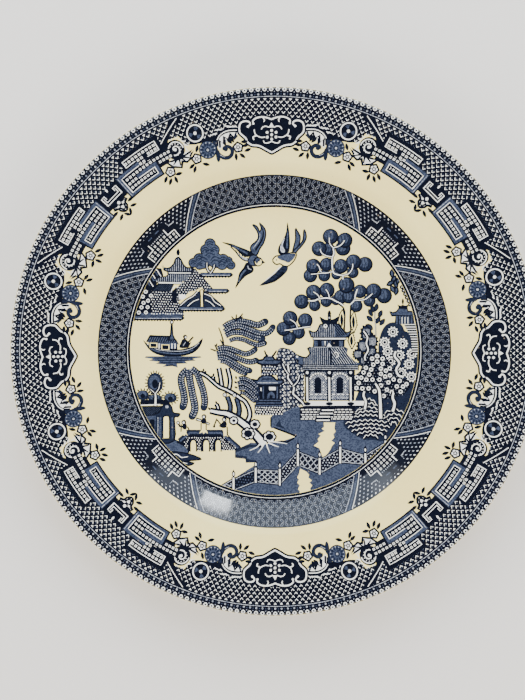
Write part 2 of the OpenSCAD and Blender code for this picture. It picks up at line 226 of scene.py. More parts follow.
class Artwork:
    """A stack of painted outlines, each owned by a piece of the print."""

    def __init__(self, polar=False):
        self.polar = polar
        self.points, self.faces, self.paint = [], [], []
        self.bends = []
        self.piece = None
        self.window = None
        self.move = None

    def at(self, point):
        """Where a point of the drawing lies in plan."""
        if self.polar:
            turn = math.radians(point[0])
            return point[1] * math.sin(turn), point[1] * math.cos(turn)
        return self.move(*point) if self.move else point

    def run(self, points, closed):
        """A line's points in plan, with round stretches split where it needs them."""
        if not self.polar:
            return [self.at(p) for p in points]
        out = []
        ends = points[1:] + points[:1] if closed else points[1:]
        for a, b in zip(points, ends):
            cuts = max(1, math.ceil(abs(b[0] - a[0]) / 1.5))
            out += [(a[0] + (b[0] - a[0]) * k / cuts, a[1] + (b[1] - a[1]) * k / cuts)
                    for k in range(cuts)]
        if not closed:
            out.append(points[-1])
        return [self.at(p) for p in out]

    def add(self, tone, outline):
        # The outline ends at its leftmost point and runs anticlockwise there, which is
        # where the triangulation begins to fill it.
        first = outline.index(min(outline))
        outline = outline[first + 1:] + outline[:first + 1]
        (ax, ay), (bx, by), (cx, cy) = outline[-2], outline[-1], outline[0]
        if (bx - ax) * (cy - by) < (by - ay) * (cx - bx):
            outline = outline[-2::-1] + outline[-1:]
        if tone is BARE and abs(plan_area(outline)) < STAINED_AREA:
            tone = STAINED
        start = len(self.points)
        self.points += outline
        self.faces.append(list(range(start, start + len(outline))))
        self.paint.append((self.piece, tone, self.window))
        return len(self.paint) - 1

    def area(self, tone, outline):
        return self.add(tone, self.run(list(outline), True))

    def blob(self, tone, outline):
        """An area with its corners rounded."""
        return self.area(tone, smooth(outline, True, 3))

    def block(self, tone, left, low, right, high):
        """An area with level and upright sides."""
        return self.area(tone, [(left, low), (right, low), (right, high), (left, high)])

    def stroke(self, tone, points, width, end=None):
        """A pen line; its width may run out to another at its end."""
        line = self.run(list(points), False)
        end = width if end is None else end
        if tone in (BARE, STAINED, PALE):
            width, end = width * LIGHT_SHARE, end * LIGHT_SHARE
        else:
            width, end = width + DARK_SPREAD, end + DARK_SPREAD
        tone = STAINED if tone is BARE else tone
        left, right = [], []
        last = len(line) - 1
        for i, p in enumerate(line):
            a, b = line[max(0, i - 1)], line[min(last, i + 1)]
            dx, dy = b[0] - a[0], b[1] - a[1]
            size = math.hypot(dx, dy) or 1
            half = (width + (end - width) * i / max(1, last)) / 2
            if 0 < i < last:
                ux, uy = p[0] - a[0], p[1] - a[1]
                own = math.hypot(ux, uy) or 1
                half /= max(0.6, (ux * dx + uy * dy) / own / size)
            nx, ny = -dy / size * half, dx / size * half
            left.append((p[0] + nx, p[1] + ny))
            right.append((p[0] - nx, p[1] - ny))
        return self.add(tone, left + right[::-1])

    def curve(self, tone, points, width, end=None):
        """A pen line with its corners rounded."""
        return self.stroke(tone, smooth(points), width, end)

    def loop(self, tone, points, width):
        """A closed pen line."""
        return self.stroke(tone, list(points) + [points[0]], width)

    def oval(self, tone, centre, wide, high, turn=0, count=12):
        x, y = self.at(centre)
        if self.polar:
            turn -= centre[0]
        c, s = math.cos(math.radians(turn)), math.sin(math.radians(turn))
        pts = []
        for k in range(count):
            t = 2 * math.pi * k / count
            u, v = wide * math.cos(t), high * math.sin(t)
            pts.append((x + u * c - v * s, y + u * s + v * c))
        return self.add(tone, pts)

    def disc(self, tone, centre, radius, count=12):
        return self.oval(tone, centre, radius, radius, 0, count)

    def leaf(self, tone, centre, length, width, turn=0):
        """A pointed almond."""
        x, y = self.at(centre)
        if self.polar:
            turn -= centre[0]
        c, s = math.cos(math.radians(turn)), math.sin(math.radians(turn))
        half = [(-0.5, 0), (-0.3, 0.32), (0, 0.5), (0.3, 0.32), (0.5, 0)]
        pts = half + [(u, -v) for u, v in half[-2:0:-1]]
        return self.add(tone, [(x + u * length * c - v * width * s,
                                y + u * length * s + v * width * c) for u, v in pts])

    def bend(self, radius, start, end):
        """A ring, or part of one, along which the film bends."""
        count = max(2, math.ceil((end - start) / 1.5))
        first = len(self.points)
        for k in range(count + 1):
            turn = math.radians(start + (end - start) * k / count)
            self.points.append((radius * math.sin(turn), radius * math.cos(turn)))
        self.bends += [(first + k, first + k + 1) for k in range(count)]

    def patches(self, within=None):
        """The ink that shows, as {piece: [(three plan points, tone)]}."""
        points, _, faces, _, _, owners = delaunay_2d_cdt(
            [Vector(p) for p in self.points], self.bends, self.faces, 1, 1e-4, True)
        out = {}
        for face, ids in zip(faces, owners):
            if within is not None and within not in ids:
                continue
            for i in sorted(ids, reverse=True):
                piece, tone, window = self.paint[i]
                if piece is None or (window is not None and window not in ids):
                    continue
                if tone is not BARE:
                    corners = tuple(tuple(points[v]) for v in face)
                    out.setdefault(piece, []).append((corners, tone))
                break
        return out


def all_round(patches):
    """Patches drawn for an eighth of a band, repeated right round it."""
    out = {}
    for piece, tris in patches.items():
        full = out.setdefault(piece, [])
        for quarter in range(4):
            turn = math.radians(90 * quarter)
            c, s = round(math.cos(turn)), round(math.sin(turn))
            for corners, tone in tris:
                full.append((tuple((x * c + y * s, y * c - x * s) for x, y in corners), tone))
                full.append((tuple((y * s - x * c, y * c + x * s) for x, y in corners[::-1]), tone))
    return out


def film(name, tris, section, drift=None):
    """A thin closed film of ink on the face of the plate."""
    index, plan, faces, tones = {}, [], [], []
    for corners, tone in tris:
        face = []
        for x, y in corners:
            key = (round(x * 2000), round(y * 2000))
            if key not in index:
                index[key] = len(plan)
                plan.append((x, y))
            face.append(index[key])
        if len(set(face)) == 3:
            faces.append(face)
            tones.append(tone)
    plan = np.array(plan)
    if drift:
        plan = drift(plan)
    top, normal = section.lay(plan, FILM_LIFT)
    under, _ = section.lay(plan, -FILM_SUNK)
    faces = np.array(faces)
    count = len(plan)
    sides, used = [], {}
    for face in faces.tolist():
        for a, b in zip(face, face[1:] + face[:1]):
            used[(a, b)] = True
    for a, b in used:
        if (b, a) not in used:
            sides.append((a, a + count, b + count, b))
    sides = np.array(sides)
    corners = np.concatenate([faces.ravel(), faces[:, ::-1].ravel() + count, sides.ravel()])
    sizes = [3] * (2 * len(faces)) + [4] * len(sides)
    mesh = bpy.data.meshes.new(name)
    points = np.concatenate([top, under])
    mesh.vertices.add(len(points))
    mesh.vertices.foreach_set("co", points.ravel())
    mesh.loops.add(len(corners))
    mesh.loops.foreach_set("vertex_index", corners.astype(np.int32))
    mesh.polygons.add(len(sizes))
    mesh.polygons.foreach_set("loop_start", np.cumsum([0] + sizes[:-1]).astype(np.int32))
    used_tones = sorted(set(tones))
    slots = [used_tones.index(t) for t in tones]
    mesh.polygons.foreach_set("material_index", np.array(slots * 2 + [0] * len(sides), np.int32))
    mesh.update(calc_edges=True)
    mesh.polygons.foreach_set("use_smooth", np.ones(len(sizes), bool))
    flat = sides[:, 0]
    ahead = points[sides[:, 3]] - points[flat]
    outward = np.cross(ahead, [0, 0, 1.0])
    outward /= np.maximum(np.linalg.norm(outward, axis=1), 1e-12)[:, None]
    loop_normals = np.concatenate([
        normal[faces.ravel()], -normal[faces[:, ::-1].ravel()], np.repeat(outward, 4, axis=0)])
    mesh.normals_split_custom_set(loop_normals.tolist())
    for tone in used_tones:
        mesh.materials.append(ink(tone))
    piece = bpy.data.objects.new(name, mesh)
    bpy.context.scene.collection.objects.link(piece)
    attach(piece, BODY)
    return piece


# ---- Rim border: angles in degrees from the middle of a cartouche, radii in mm ----

EIGHTH = 45
BEADS = 252
PITCH = 360 / BEADS
BAND_STEP = 1.02


def band(art, tone, inner, outer):
    """A band across the eighth that is drawn."""
    return art.area(tone, [(0, inner), (EIGHTH, inner), (EIGHTH, outer), (0, outer)])


def cell(art, angle, radius, wide=0.31, tall=0.56, dot=0.3):
    """A white square with a dot, as in the frets."""
    art.block(BARE, angle - wide, radius - tall, angle + wide, radius + tall)
    art.disc(DARK, (angle, radius), dot, 6)


def draw_edge(art):
    art.piece = "edge_beads"
    band(art, DARK, EDGE_IN - 0.1, PLATE_R - 0.25)
    for k in range(33):
        a = k * PITCH
        art.disc(BARE, (a, 128.3), 1.0, 12)
        art.disc(DARK, (a, 128.3), 0.5, 8)
        art.disc(PALE, (a + PITCH / 2, 127.2), 0.26, 5)
        art.disc(PALE, (a, 126), 0.48, 8)
        art.disc(DARK, (a, 126), 0.2, 5)
        art.disc(MID, (a + PITCH / 2, 126.1), 0.3, 5)
    art.stroke(PALE, [(a / 2, EDGE_IN + 0.25) for a in range(-2, 94)], 0.35)


def draw_lattice(art):
    art.piece = "rim_lattice"
    art.area(DARK, [
        (0, EDGE_IN), (0, 113), (7.6, 110), (10.5, 110.6), (13, 109.8), (14.4, 107.4),
        (16.5, 108.6), (20, 109.5), (22.2, 111), (23, 116), (26, 116.4), (27.8, 115),
        (27.8, 107), (45, 107), (45, EDGE_IN)])
    rows = (123.6, 122.3, 120.75, 119.15, 117.55, 115.95, 114.35, 112.75, 111.15)
    for n, r in enumerate(rows):
        for k in range(33):
            a = (k + (n % 2) / 2) * PITCH
            if n == 0:
                art.area(BARE, [(a - 0.36, r + 0.5), (a + 0.36, r + 0.5), (a, r - 0.45)])
                continue
            wide = 0.42 if a < 22 else 0.45
            art.area(BARE, [(a - wide, r + 0.46), (a - wide + 0.1, r + 0.6), (a - 0.02, r - 0.14),
                            (a + wide - 0.16, r + 0.62), (a + wide, r + 0.48),
                            (a + 0.05, r - 0.5), (a - 0.05, r - 0.5)])
            if a > 23:
                art.disc(MID, (a, r + 0.85), 0.26, 5)


def draw_cartouche(art):
    art.piece = "rim_cartouches"
    lobe = [(5.9, 111.7), (5.3, 112.6), (5.5, 113.8), (6.5, 114.4), (7.6, 113.7), (8.1, 111.8),
            (8.1, 109.4), (7.4, 107.7), (6.8, 106.4), (6.4, 104.4), (5.4, 103), (4, 102.5),
            (2.9, 101.8), (1.4, 100.2), (0, 98.9)]
    crest = [(0, 114.3), (1, 115.1), (2.3, 115.6), (3.6, 115.3), (4.5, 114.2), (4.5, 112.8)]
    art.area(DARK, crest + lobe[1:])
    art.curve(DARK, crest, 2.1)
    for part in (lobe[:6], lobe[5:]):
        art.curve(DARK, part, 2.3)
    art.disc(DARK, (0, 98.9), 1.2, 10)
    art.curve(BARE, crest, 0.9)
    for part in (lobe[:6], lobe[5:]):
        art.curve(BARE, part, 0.95)
    art.disc(BARE, (5.9, 111.7), 0.62, 8)
    art.stroke(BARE, [(2, 115.3), (1.7, 114), (1.9, 113.2)], 0.8, 0.5)
    art.disc(BARE, (4.5, 112.8), 0.55, 8)
    for a, r in ((0, 109.2), (0, 107.2), (0, 105.1), (1.15, 108.3), (1.15, 106.1)):
        art.disc(BARE, (a, r), 0.68, 9)
    art.area(BARE, [(-0.7, 110.6), (0.7, 110.6), (0, 112.9)])
    art.curve(BARE, [(0.6, 110.6), (1.4, 111.2), (2.2, 110.9), (2.6, 109.8)], 0.62)
    art.curve(BARE, [(1.7, 106.2), (2.7, 106.1), (3.7, 106.9), (4.3, 108.2), (4.4, 110)], 0.66)
    art.curve(BARE, [(3.9, 107.2), (4.9, 106.5), (4.7, 105.3)], 0.75)
    art.curve(BARE, [(0, 104.1), (1, 103.4), (1.9, 103.5), (2.2, 104.6)], 0.6)


def draw_rim_flower(art, angle, radius, leaves):
    """A five-petalled flower on its ring of dark leaves."""
    art.piece = "rim_flowers"
    for a, r, turn in leaves:
        art.leaf(DARK, (a, r), 3.8, 1.7, turn)
    x, y = art.at((angle, radius))
    for tone, size in ((DARK, 2.9), (STAINED, 1.9), (DARK, 1.05), (STAINED, 0.5)):
        outline = []
        for k in range(10):
            turn = math.radians(90 - angle + 36 * k)
            reach = size * (1 if k % 2 == 0 else 0.84)
            outline.append(around((x, y), reach, turn))
        art.add(tone, outline)
        if size == 1.9:
            for k in range(5):
                turn = math.radians(90 - angle + 72 * k + 36)
                near, far = around((x, y), 0.8, turn), around((x, y), 1.7, turn)
                side = (0.17 * math.sin(turn), -0.17 * math.cos(turn))
                art.add(DARK, [(near[0] + side[0], near[1] + side[1]),
                               (far[0] + side[0], far[1] + side[1]),
                               (far[0] - side[0], far[1] - side[1]),
                               (near[0] - side[0], near[1] - side[1])])


def draw_scrolls(art):
    art.piece = "rim_scrolls"
    # The leafy stem beside the cartouche, and its curl.
    for a, r, b, s in ((8.2, 111.8, 9.6, 112.9), (10, 112.6, 11.8, 113.8), (12.4, 112.4, 14.3, 112.9),
                       (13.8, 111.2, 15.6, 111), (9.2, 111.9, 10.4, 113.2)):
        art.stroke(STAINED, [(a, r), ((a + b) / 2, (r + s) / 2 + 0.25), (b, s)], 0.95, 0.3)
    art.blob(STAINED, [(8.4, 110), (10.6, 110.6), (12.8, 109.8), (14.2, 107.6), (14.4, 104),
                       (13.2, 104.6), (11.6, 106.6), (9.6, 107.6)])
    art.stroke(DARK, [(9, 109.8), (9.8, 107.4), (10.6, 109.6), (11.4, 107.2), (12.3, 108.9),
                      (12.8, 105.6), (13.6, 107.8), (14, 104.4)], 0.8)
    art.stroke(DEEP, [(9, 108.6), (9.9, 106.6)], 1.5, 0.4)
    art.stroke(DARK, [(10.9, 108.4), (11.2, 106.2)], 1.1, 0.5)
    art.stroke(DARK, [(12.3, 107.6), (12.4, 104.8)], 1.1, 0.5)
    art.curve(DARK, [(7.8, 110.4), (9.4, 111.2), (11.4, 111.5), (13.2, 110.6), (14.4, 108.6),
                     (14.9, 105.4)], 2.2)
    art.curve(STAINED, [(7.9, 110.3), (9.4, 111), (11.4, 111.3), (13.1, 110.3), (14.2, 108.4)], 0.55)
    art.curve(DEEP, [(14.9, 108), (15.2, 104.4), (14.8, 101.6), (13.6, 99.4), (12.2, 99.1),
                     (11.2, 100.4), (11, 102.4), (11.8, 104.1), (12.9, 103.9), (13, 102.9)], 1.9,
              1.5)
    art.disc(DEEP, (12.6, 103.2), 1.15)
    art.curve(PALE, [(15.1, 106), (15.2, 104.2), (14.6, 101.4), (13.4, 99.7)], 0.3)
    art.blob(DEEP, [(14.4, 103), (15.2, 104), (15.7, 101), (15.6, 98.2), (14.8, 99)])
    # The spiral under the slanting bar, with its feathery leaves.
    for turn in range(0, 200, 22):
        t = math.radians(turn + 128)
        x, y = art.at((25.1, 111))
        near, far = 5, 7.2 - 0.4 * (turn % 44 == 0)
        lean = t + 0.22
        art.add(STAINED, [around((x, y), near, t - 0.16), around((x, y), near, t + 0.16),
                          around((x, y), far, lean + 0.05)])
    art.blob(STAINED, [(21.6, 107.6), (22.6, 104.6), (23.8, 103.8), (25, 105), (25.8, 102.6),
                       (27.4, 104.4), (28.4, 107), (25, 107.4)])
    art.loop(DARK, [(21, 107.4), (22.3, 105.2), (21.9, 104.6), (23.6, 103.4), (24.7, 104.6), (25.6, 102.2),
                    (27.6, 104.3), (28.5, 107.3), (25, 106.2)], 0.8)
    for tip in ((22.4, 104.6), (23.9, 104.3), (25.7, 103.2), (27.3, 105)):
        art.stroke(DARK, [(25, 107.2), tip], 1.1, 0.4)
    art.disc(DARK, (25.1, 111), 4.7, 26)
    spiral = []
    for k in range(30):
        reach = 0.5 + 3.55 * (k / 29) ** 0.8
        turn = math.radians(k * 19.5 - 40)
        x, y = art.at((25.1, 111))
        spiral.append(around((x, y), reach, turn))
    keep, art.polar = art.polar, False
    art.stroke(STAINED, spiral, 0.68)
    for k in range(12):
        turn = math.radians(k * 30)
        art.disc(STAINED, around((x, y), 2.75, turn), 0.27, 5)
    art.polar = keep
    art.disc(STAINED, (25.1, 111), 0.75, 8)


def draw_rounds(art):
    art.piece = "rim_rosettes"
    art.disc(DARK, (17.3, 105.1), 4.35, 30)
    art.disc(MID, (17.3, 105.1), 4, 30)
    x, y = art.at((17.3, 105.1))
    keep, art.polar = art.polar, False
    for k in range(12):
        turn = 30 * k
        t = math.radians(turn)
        art.leaf(DEEP, around((x, y), 2.7, t), 2, 0.9, turn)
        t += math.radians(15)
        art.disc(PALE, around((x, y), 3.4, t), 0.28, 6)
    art.disc(DEEP, (x, y), 1.3, 12)
    art.disc(PALE, (x, y), 0.6, 8)
    art.polar = keep
    art.piece = "rim_roundels"
    art.disc(DARK, (19, 114.4), 4.7, 30)
    art.disc(STAINED, (19, 114.4), 4.2, 30)
    art.disc(DARK, (19, 114.4), 3.55, 26)
    x, y = art.at((19, 114.4))
    for k in range(3):
        t = math.radians(100 + 120 * k)
        art.add(MID, [around((x, y), d, t + s)
                      for d, s in ((0.9, 0), (2.9, -0.42), (3.1, 0), (2.9, 0.42))])
    art.disc(STAINED, (19, 114.4), 0.8, 10)


def draw_frets(art):
    art.piece = "rim_dark_frets"
    art.area(DARK, [(20, EDGE_IN), (22.8, EDGE_IN), (27.9, 116.6), (27.9, 112), (26.4, 114.2), (25.4, 117)])
    art.stroke(BARE, [(21.8, 124), (27.6, 116.4)], 0.5)
    art.area(DARK, [(27.7, 121.3), (38.5, 121.3), (38.5, 113), (31, 113), (31, 106.9), (27.7, 106.9)])
    art.block(DARK, 26, 112.8, 31, 108.4)
    art.piece = "rim_blue_frets"
    art.area(DARK, [(30.5, 111), (30.5, 103.3), (41.7, 103.3), (41.7, 115.2), (34.5, 115.2),
                    (34.5, 111)])
    art.area(MID, [(30.9, 110.9), (30.9, 104), (41.4, 104), (41.4, 115.1), (34.6, 115.1), (34.6, 110.9)])
    art.area(DARK, [(31.8, 105.4), (40.4, 105.4), (40.4, 113.4), (34.4, 113.4), (34.4, 110.5),
                    (36.9, 110.5), (36.9, 108.7), (31.8, 108.7)])
    art.stroke(BARE, [(36.8, 108.7), (31.8, 108.7), (31.8, 105.4), (40.4, 105.4), (40.4, 113.4),
                      (34.9, 113.4)], 0.45)
    art.stroke(PALE, [(41.1, 104.4), (41.1, 114.8)], 0.3)
    for k in range(7):
        cell(art, 33.45 + k * BAND_STEP, 107.2)
    art.stroke(BARE, [(32.4, 108), (32.7, 107.2), (32.4, 106.4)], 0.3)
    art.piece = "rim_dark_frets"
    art.block(DARK, 26.2, 112.7, 40, 110.6)
    for k in range(13):
        cell(art, 26.9 + k * BAND_STEP * 1.02, 111.6)
    for a in (26.9, 27.9, 28.9, 29.9, 37.5, 38.5, 39.5):
        cell(art, a, 109.4)
    art.stroke(BARE, [(31.9, 114.6), (28.7, 114.6), (28.7, 119.2), (37.7, 119.2), (37.7, 116.1),
                      (35, 116.1)], 0.5)
    for k in range(9):
        cell(art, 29.3 + k * 0.995, 117.6)
    for a in (29.4, 30.4, 31.3, 33.3, 34.3):
        cell(art, a, 115.7)
    for a in (33.3, 34.3):
        cell(art, a, 113.7)
    art.piece = "rim_hook_frets"
    art.block(DARK, 41.7, 115.2, 45, 106.6)
    art.stroke(BARE, [(45, 109.1), (42.5, 109.1), (42.5, 113.4), (43.5, 113.4), (43.5, 111.7)], 0.55)
    art.stroke(BARE, [(45, 110.4), (43.05, 110.4), (43.05, 112.8)], 0.45)
    art.oval(BARE, (45, 114.5), 0.5, 0.9)


def draw_lotus(art):
    art.piece = "rim_flowers"
    for a, r, turn in ((42.1, 104, 0), (42.6, 101, 20), (44.4, 99.9, 125)):
        art.leaf(DARK, (a, r), 3.8, 1.6, turn)
    petal = [(45, 107), (43.9, 106.2), (43, 106.5), (42.8, 105.6), (43.7, 104.7), (43.8, 103.2),
             (44.3, 102.1), (45, 101.3)]
    art.area(STAINED, petal)
    art.stroke(DARK, petal, 0.9)
    art.disc(DARK, (45, 106.2), 1.35, 14)
    art.disc(STAINED, (45, 106.6), 0.8, 10)
    art.stroke(DARK, [(43.9, 104.4), (45, 105)], 0.5)
    art.stroke(DARK, [(44.2, 104.4), (44.6, 102.9), (45, 102.5)], 0.8)


def draw_rim(art):
    draw_edge(art)
    draw_lattice(art)
    draw_scrolls(art)
    draw_rounds(art)
    draw_frets(art)
    draw_cartouche(art)
    draw_rim_flower(art, 9.2, 102.8, (
        (7.3, 105, 0), (7.1, 103.2, -10), (6.7, 100.9, -15), (8.4, 98.6, 45), (10.2, 98.6, 95),
        (11.2, 106.4, 50), (10.4, 107, 70)))
    draw_rim_flower(art, 20.9, 103, (
        (19.9, 107.3, 125), (19, 99, 30), (22.5, 98.7, 130), (22.9, 100.6, -18)))
    draw_rim_flower(art, 28.9, 102.9, (
        (27.1, 100.2, 12), (28.6, 98.4, 95), (30.3, 98.9, 140), (31.1, 100.9, -35)))
    draw_lotus(art)


# ---- Trellis band round the well ----

def draw_trellis(art):
    low, high = TRELLIS_IN, TRELLIS_OUT
    art.piece = "trellis"
    band(art, DARK, low, high)
    step = EIGHTH / 28
    for row, r in enumerate((77.2, 79.3, 81.4, 83.5, 85.6, 87.5)):
        for k in range(29):
            a = (k + 0.5) * step
            lean = 45 if (k + row) % 2 else -45
            art.leaf(PALE, (a, r), 2.5, 1.15, lean)
            art.leaf(DEEP, (a, r), 2.2, 0.9, lean)
    band(art, DARK, high - 0.55, high)
    band(art, DARK, low, low + 0.9)
    art.piece = "trellis_panels"
    ground = art.area(DARK, [(26.6, high), (45, high), (45, low), (35.4, low)])
    for row in range(8):
        for k in range(12):
            a = 26 + (k + 0.5 * (row % 2)) * 1.66
            art.window = ground
            art.leaf(BARE if row == 0 else PALE, (a, 87.7 - 1.45 * row), 1.15, 0.6, -25)
            art.window = None
    art.area(DARK, [(36.2, low), (36.2, 82.8), (39.2, 82.8), (39.2, 86.4), (45, 86.4), (45, low)])
    art.stroke(PALE, [(36.6, 83.2), (38.9, 83.2), (38.9, 84.4)], 0.35)
    art.stroke(MID, [(42.5, 84.6), (44.2, 84.6)], 0.4)
    art.stroke(BARE, [(38.1, 76.3), (38.1, 80.3), (41.2, 80.3), (41.2, 83.4)], 0.6)
    for k in range(4):
        cell_at = 39.3 + k * 1.66
        for r in (77.1, 78.9):
            cell(art, cell_at, r, 0.38, 0.52, 0.32)
    for k in range(2):
        cell_at = 42.6 + k * 1.66
        cell(art, cell_at, 80.8, 0.38, 0.5, 0.32)
        for a in (cell_at - 0.4, cell_at + 0.4):
            art.disc(PALE, (a, 82.4), 0.3, 6)
    bar = [(23.6, high), (27, high), (35.8, low), (33, low)]
    art.area(DEEP, bar)
    art.stroke(BARE, [(26.6, high - 0.5), (35.5, low + 0.4)], 0.42)
    art.stroke(MID, [(25.4, high - 0.5), (34.3, low + 0.4)], 0.5)
    art.stroke(PALE, [(24, high - 0.5), (33.1, low + 0.4)], 0.42)
    art.piece = "well_lines"
    band(art, DARK, *WELL_LINE)
    band(art, STAINED, WELL_LINE[1], TRELLIS_IN)


# ---- Landscape: plan millimetres from the middle of the plate ----

SCENE_PIECES = {
    "far_island": "far_island_print", "doves": "dove_prints", "fruit_tree": "fruit_tree_print",
    "willow": "willow_print", "boat": "boat_print", "gatehouse": "gatehouse_print",
    "bridge": "bridge_print", "pavilion": "pavilion_print", "tea_house": "tea_house_print",
    "blossom_trees": "blossom_trees_print", "shore": "shore_print", "fence": "fence_prints",
}


def outlined(art, tone, outline, width=0.45):
    art.area(tone, outline)
    art.loop(DARK, outline, width)


def rounded(art, tone, outline, width):
    outlined(art, tone, smooth(outline, True, 3), width)


def ribs(art, tone, window, box, step, width, lean=0.0):
    """Parallel lines over a box (x0, y0, x1, y1), cut to a window."""
    x0, y0, x1, y1 = box
    art.window = window
    x = x0
    while x <= x1:
        art.stroke(tone, [(x, y0), (x + lean * (y1 - y0), y1)], width)
        x += step
    art.window = None


def courses(art, tone, window, box, step, width):
    """Level lines over a box, cut to a window."""
    x0, y0, x1, y1 = box
    art.window = window
    y = y0
    while y <= y1:
        art.stroke(tone, [(x0, y), (x1, y)], width)
        y += step
    art.window = None


def dots(art, tone, window, box, pitch, radius):
    """Staggered dots over a box, cut to a window."""
    x0, y0, x1, y1 = box
    art.window = window
    for row in range(int((y1 - y0) / pitch / 0.87) + 1):
        y = y0 + row * pitch * 0.87
        for k in range(int((x1 - x0) / pitch) + 1):
            x = x0 + (k + 0.5 * (row % 2)) * pitch
            wobble = 0.16 * pitch * math.sin(7.3 * row + 5.1 * k)
            art.disc(tone, (x + wobble, y + 0.7 * wobble), radius, 6)
    art.window = None


def bumps(art, tone, points, radius, gap):
    """Round bumps along a line."""
    for a, b in zip(points, points[1:]):
        count = max(1, round(math.dist(a, b) / gap))
        for k in range(count):
            art.disc(tone, (a[0] + (b[0] - a[0]) * k / count, a[1] + (b[1] - a[1]) * k / count),
                     radius, 7)


def branch(art, points, width, end=None, edge=1.2, inside=BARE):
    end = width if end is None else end
    art.curve(DARK, points, width + edge, end + edge)
    art.curve(inside, points, width, end)


def ring_flower(art, centre, radius=1.1):
    art.disc(DARK, centre, radius + 0.35, 9)
    art.disc(BARE, centre, radius, 9)
    art.disc(DARK, centre, 0.5 * radius, 6)


def wheel_flower(art, centre):
    art.disc(DARK, centre, 2.9, 14)
    for k in range(10):
        art.disc(STAINED, around(centre, 2.4, math.radians(36 * k)), 0.4, 6)
    for tone, radius in ((STAINED, 2.2), (DARK, 1.75), (STAINED, 1.2), (DARK, 0.8)):
        art.disc(tone, centre, radius, 12)


def cloud_bank(art, left, right, y):
    """A long scalloped bank of cloud."""
    art.area(DARK, [(left, y + 1.2), (right - 0.6, y + 1.2), (right + 0.6, y), (right - 0.6, y - 1.1),
                    (left, y - 1.1)])
    bumps(art, DARK, [(left + 0.5, y - 0.95), (right - 0.3, y - 0.95)], 0.66, 1.5)
    art.stroke(MID, [(left, y + 0.45), (right - 0.8, y + 0.45)], 0.8)
    art.stroke(PALE, [(left + 1, y - 0.2), (right - 1.2, y - 0.2)], 0.35)


def rope(art, points, width, end=None):
    """A long plait of leaves: dark edge, pale slanting nicks either side of a dark rib."""
    end = width if end is None else end
    line = smooth(points)
    art.stroke(DARK, line, width + 0.5, end + 0.5)
    art.disc(DARK, line[-1], end / 2 + 0.25, 10)
    art.stroke(DEEP, line, width - 0.3, end - 0.3)
    art.disc(DEEP, line[-1], end / 2 - 0.2, 10)
    gone = 0.4
    for i, (a, b) in enumerate(zip(line, line[1:])):
        span = math.dist(a, b) or 1
        ux, uy = (b[0] - a[0]) / span, (b[1] - a[1]) / span
        half = (width + (end - width) * i / len(line)) / 2 - 0.25
        while gone < span:
            x, y = a[0] + ux * gone, a[1] + uy * gone
            for side in (-1, 1):
                near, far = 0.28 * side, half * side
                art.stroke(PALE, [(x - uy * near, y + ux * near),
                                  (x - uy * far - 0.5 * ux, y + ux * far - 0.5 * uy)], 0.27, 0.4)
            gone += 1.15
        gone -= span


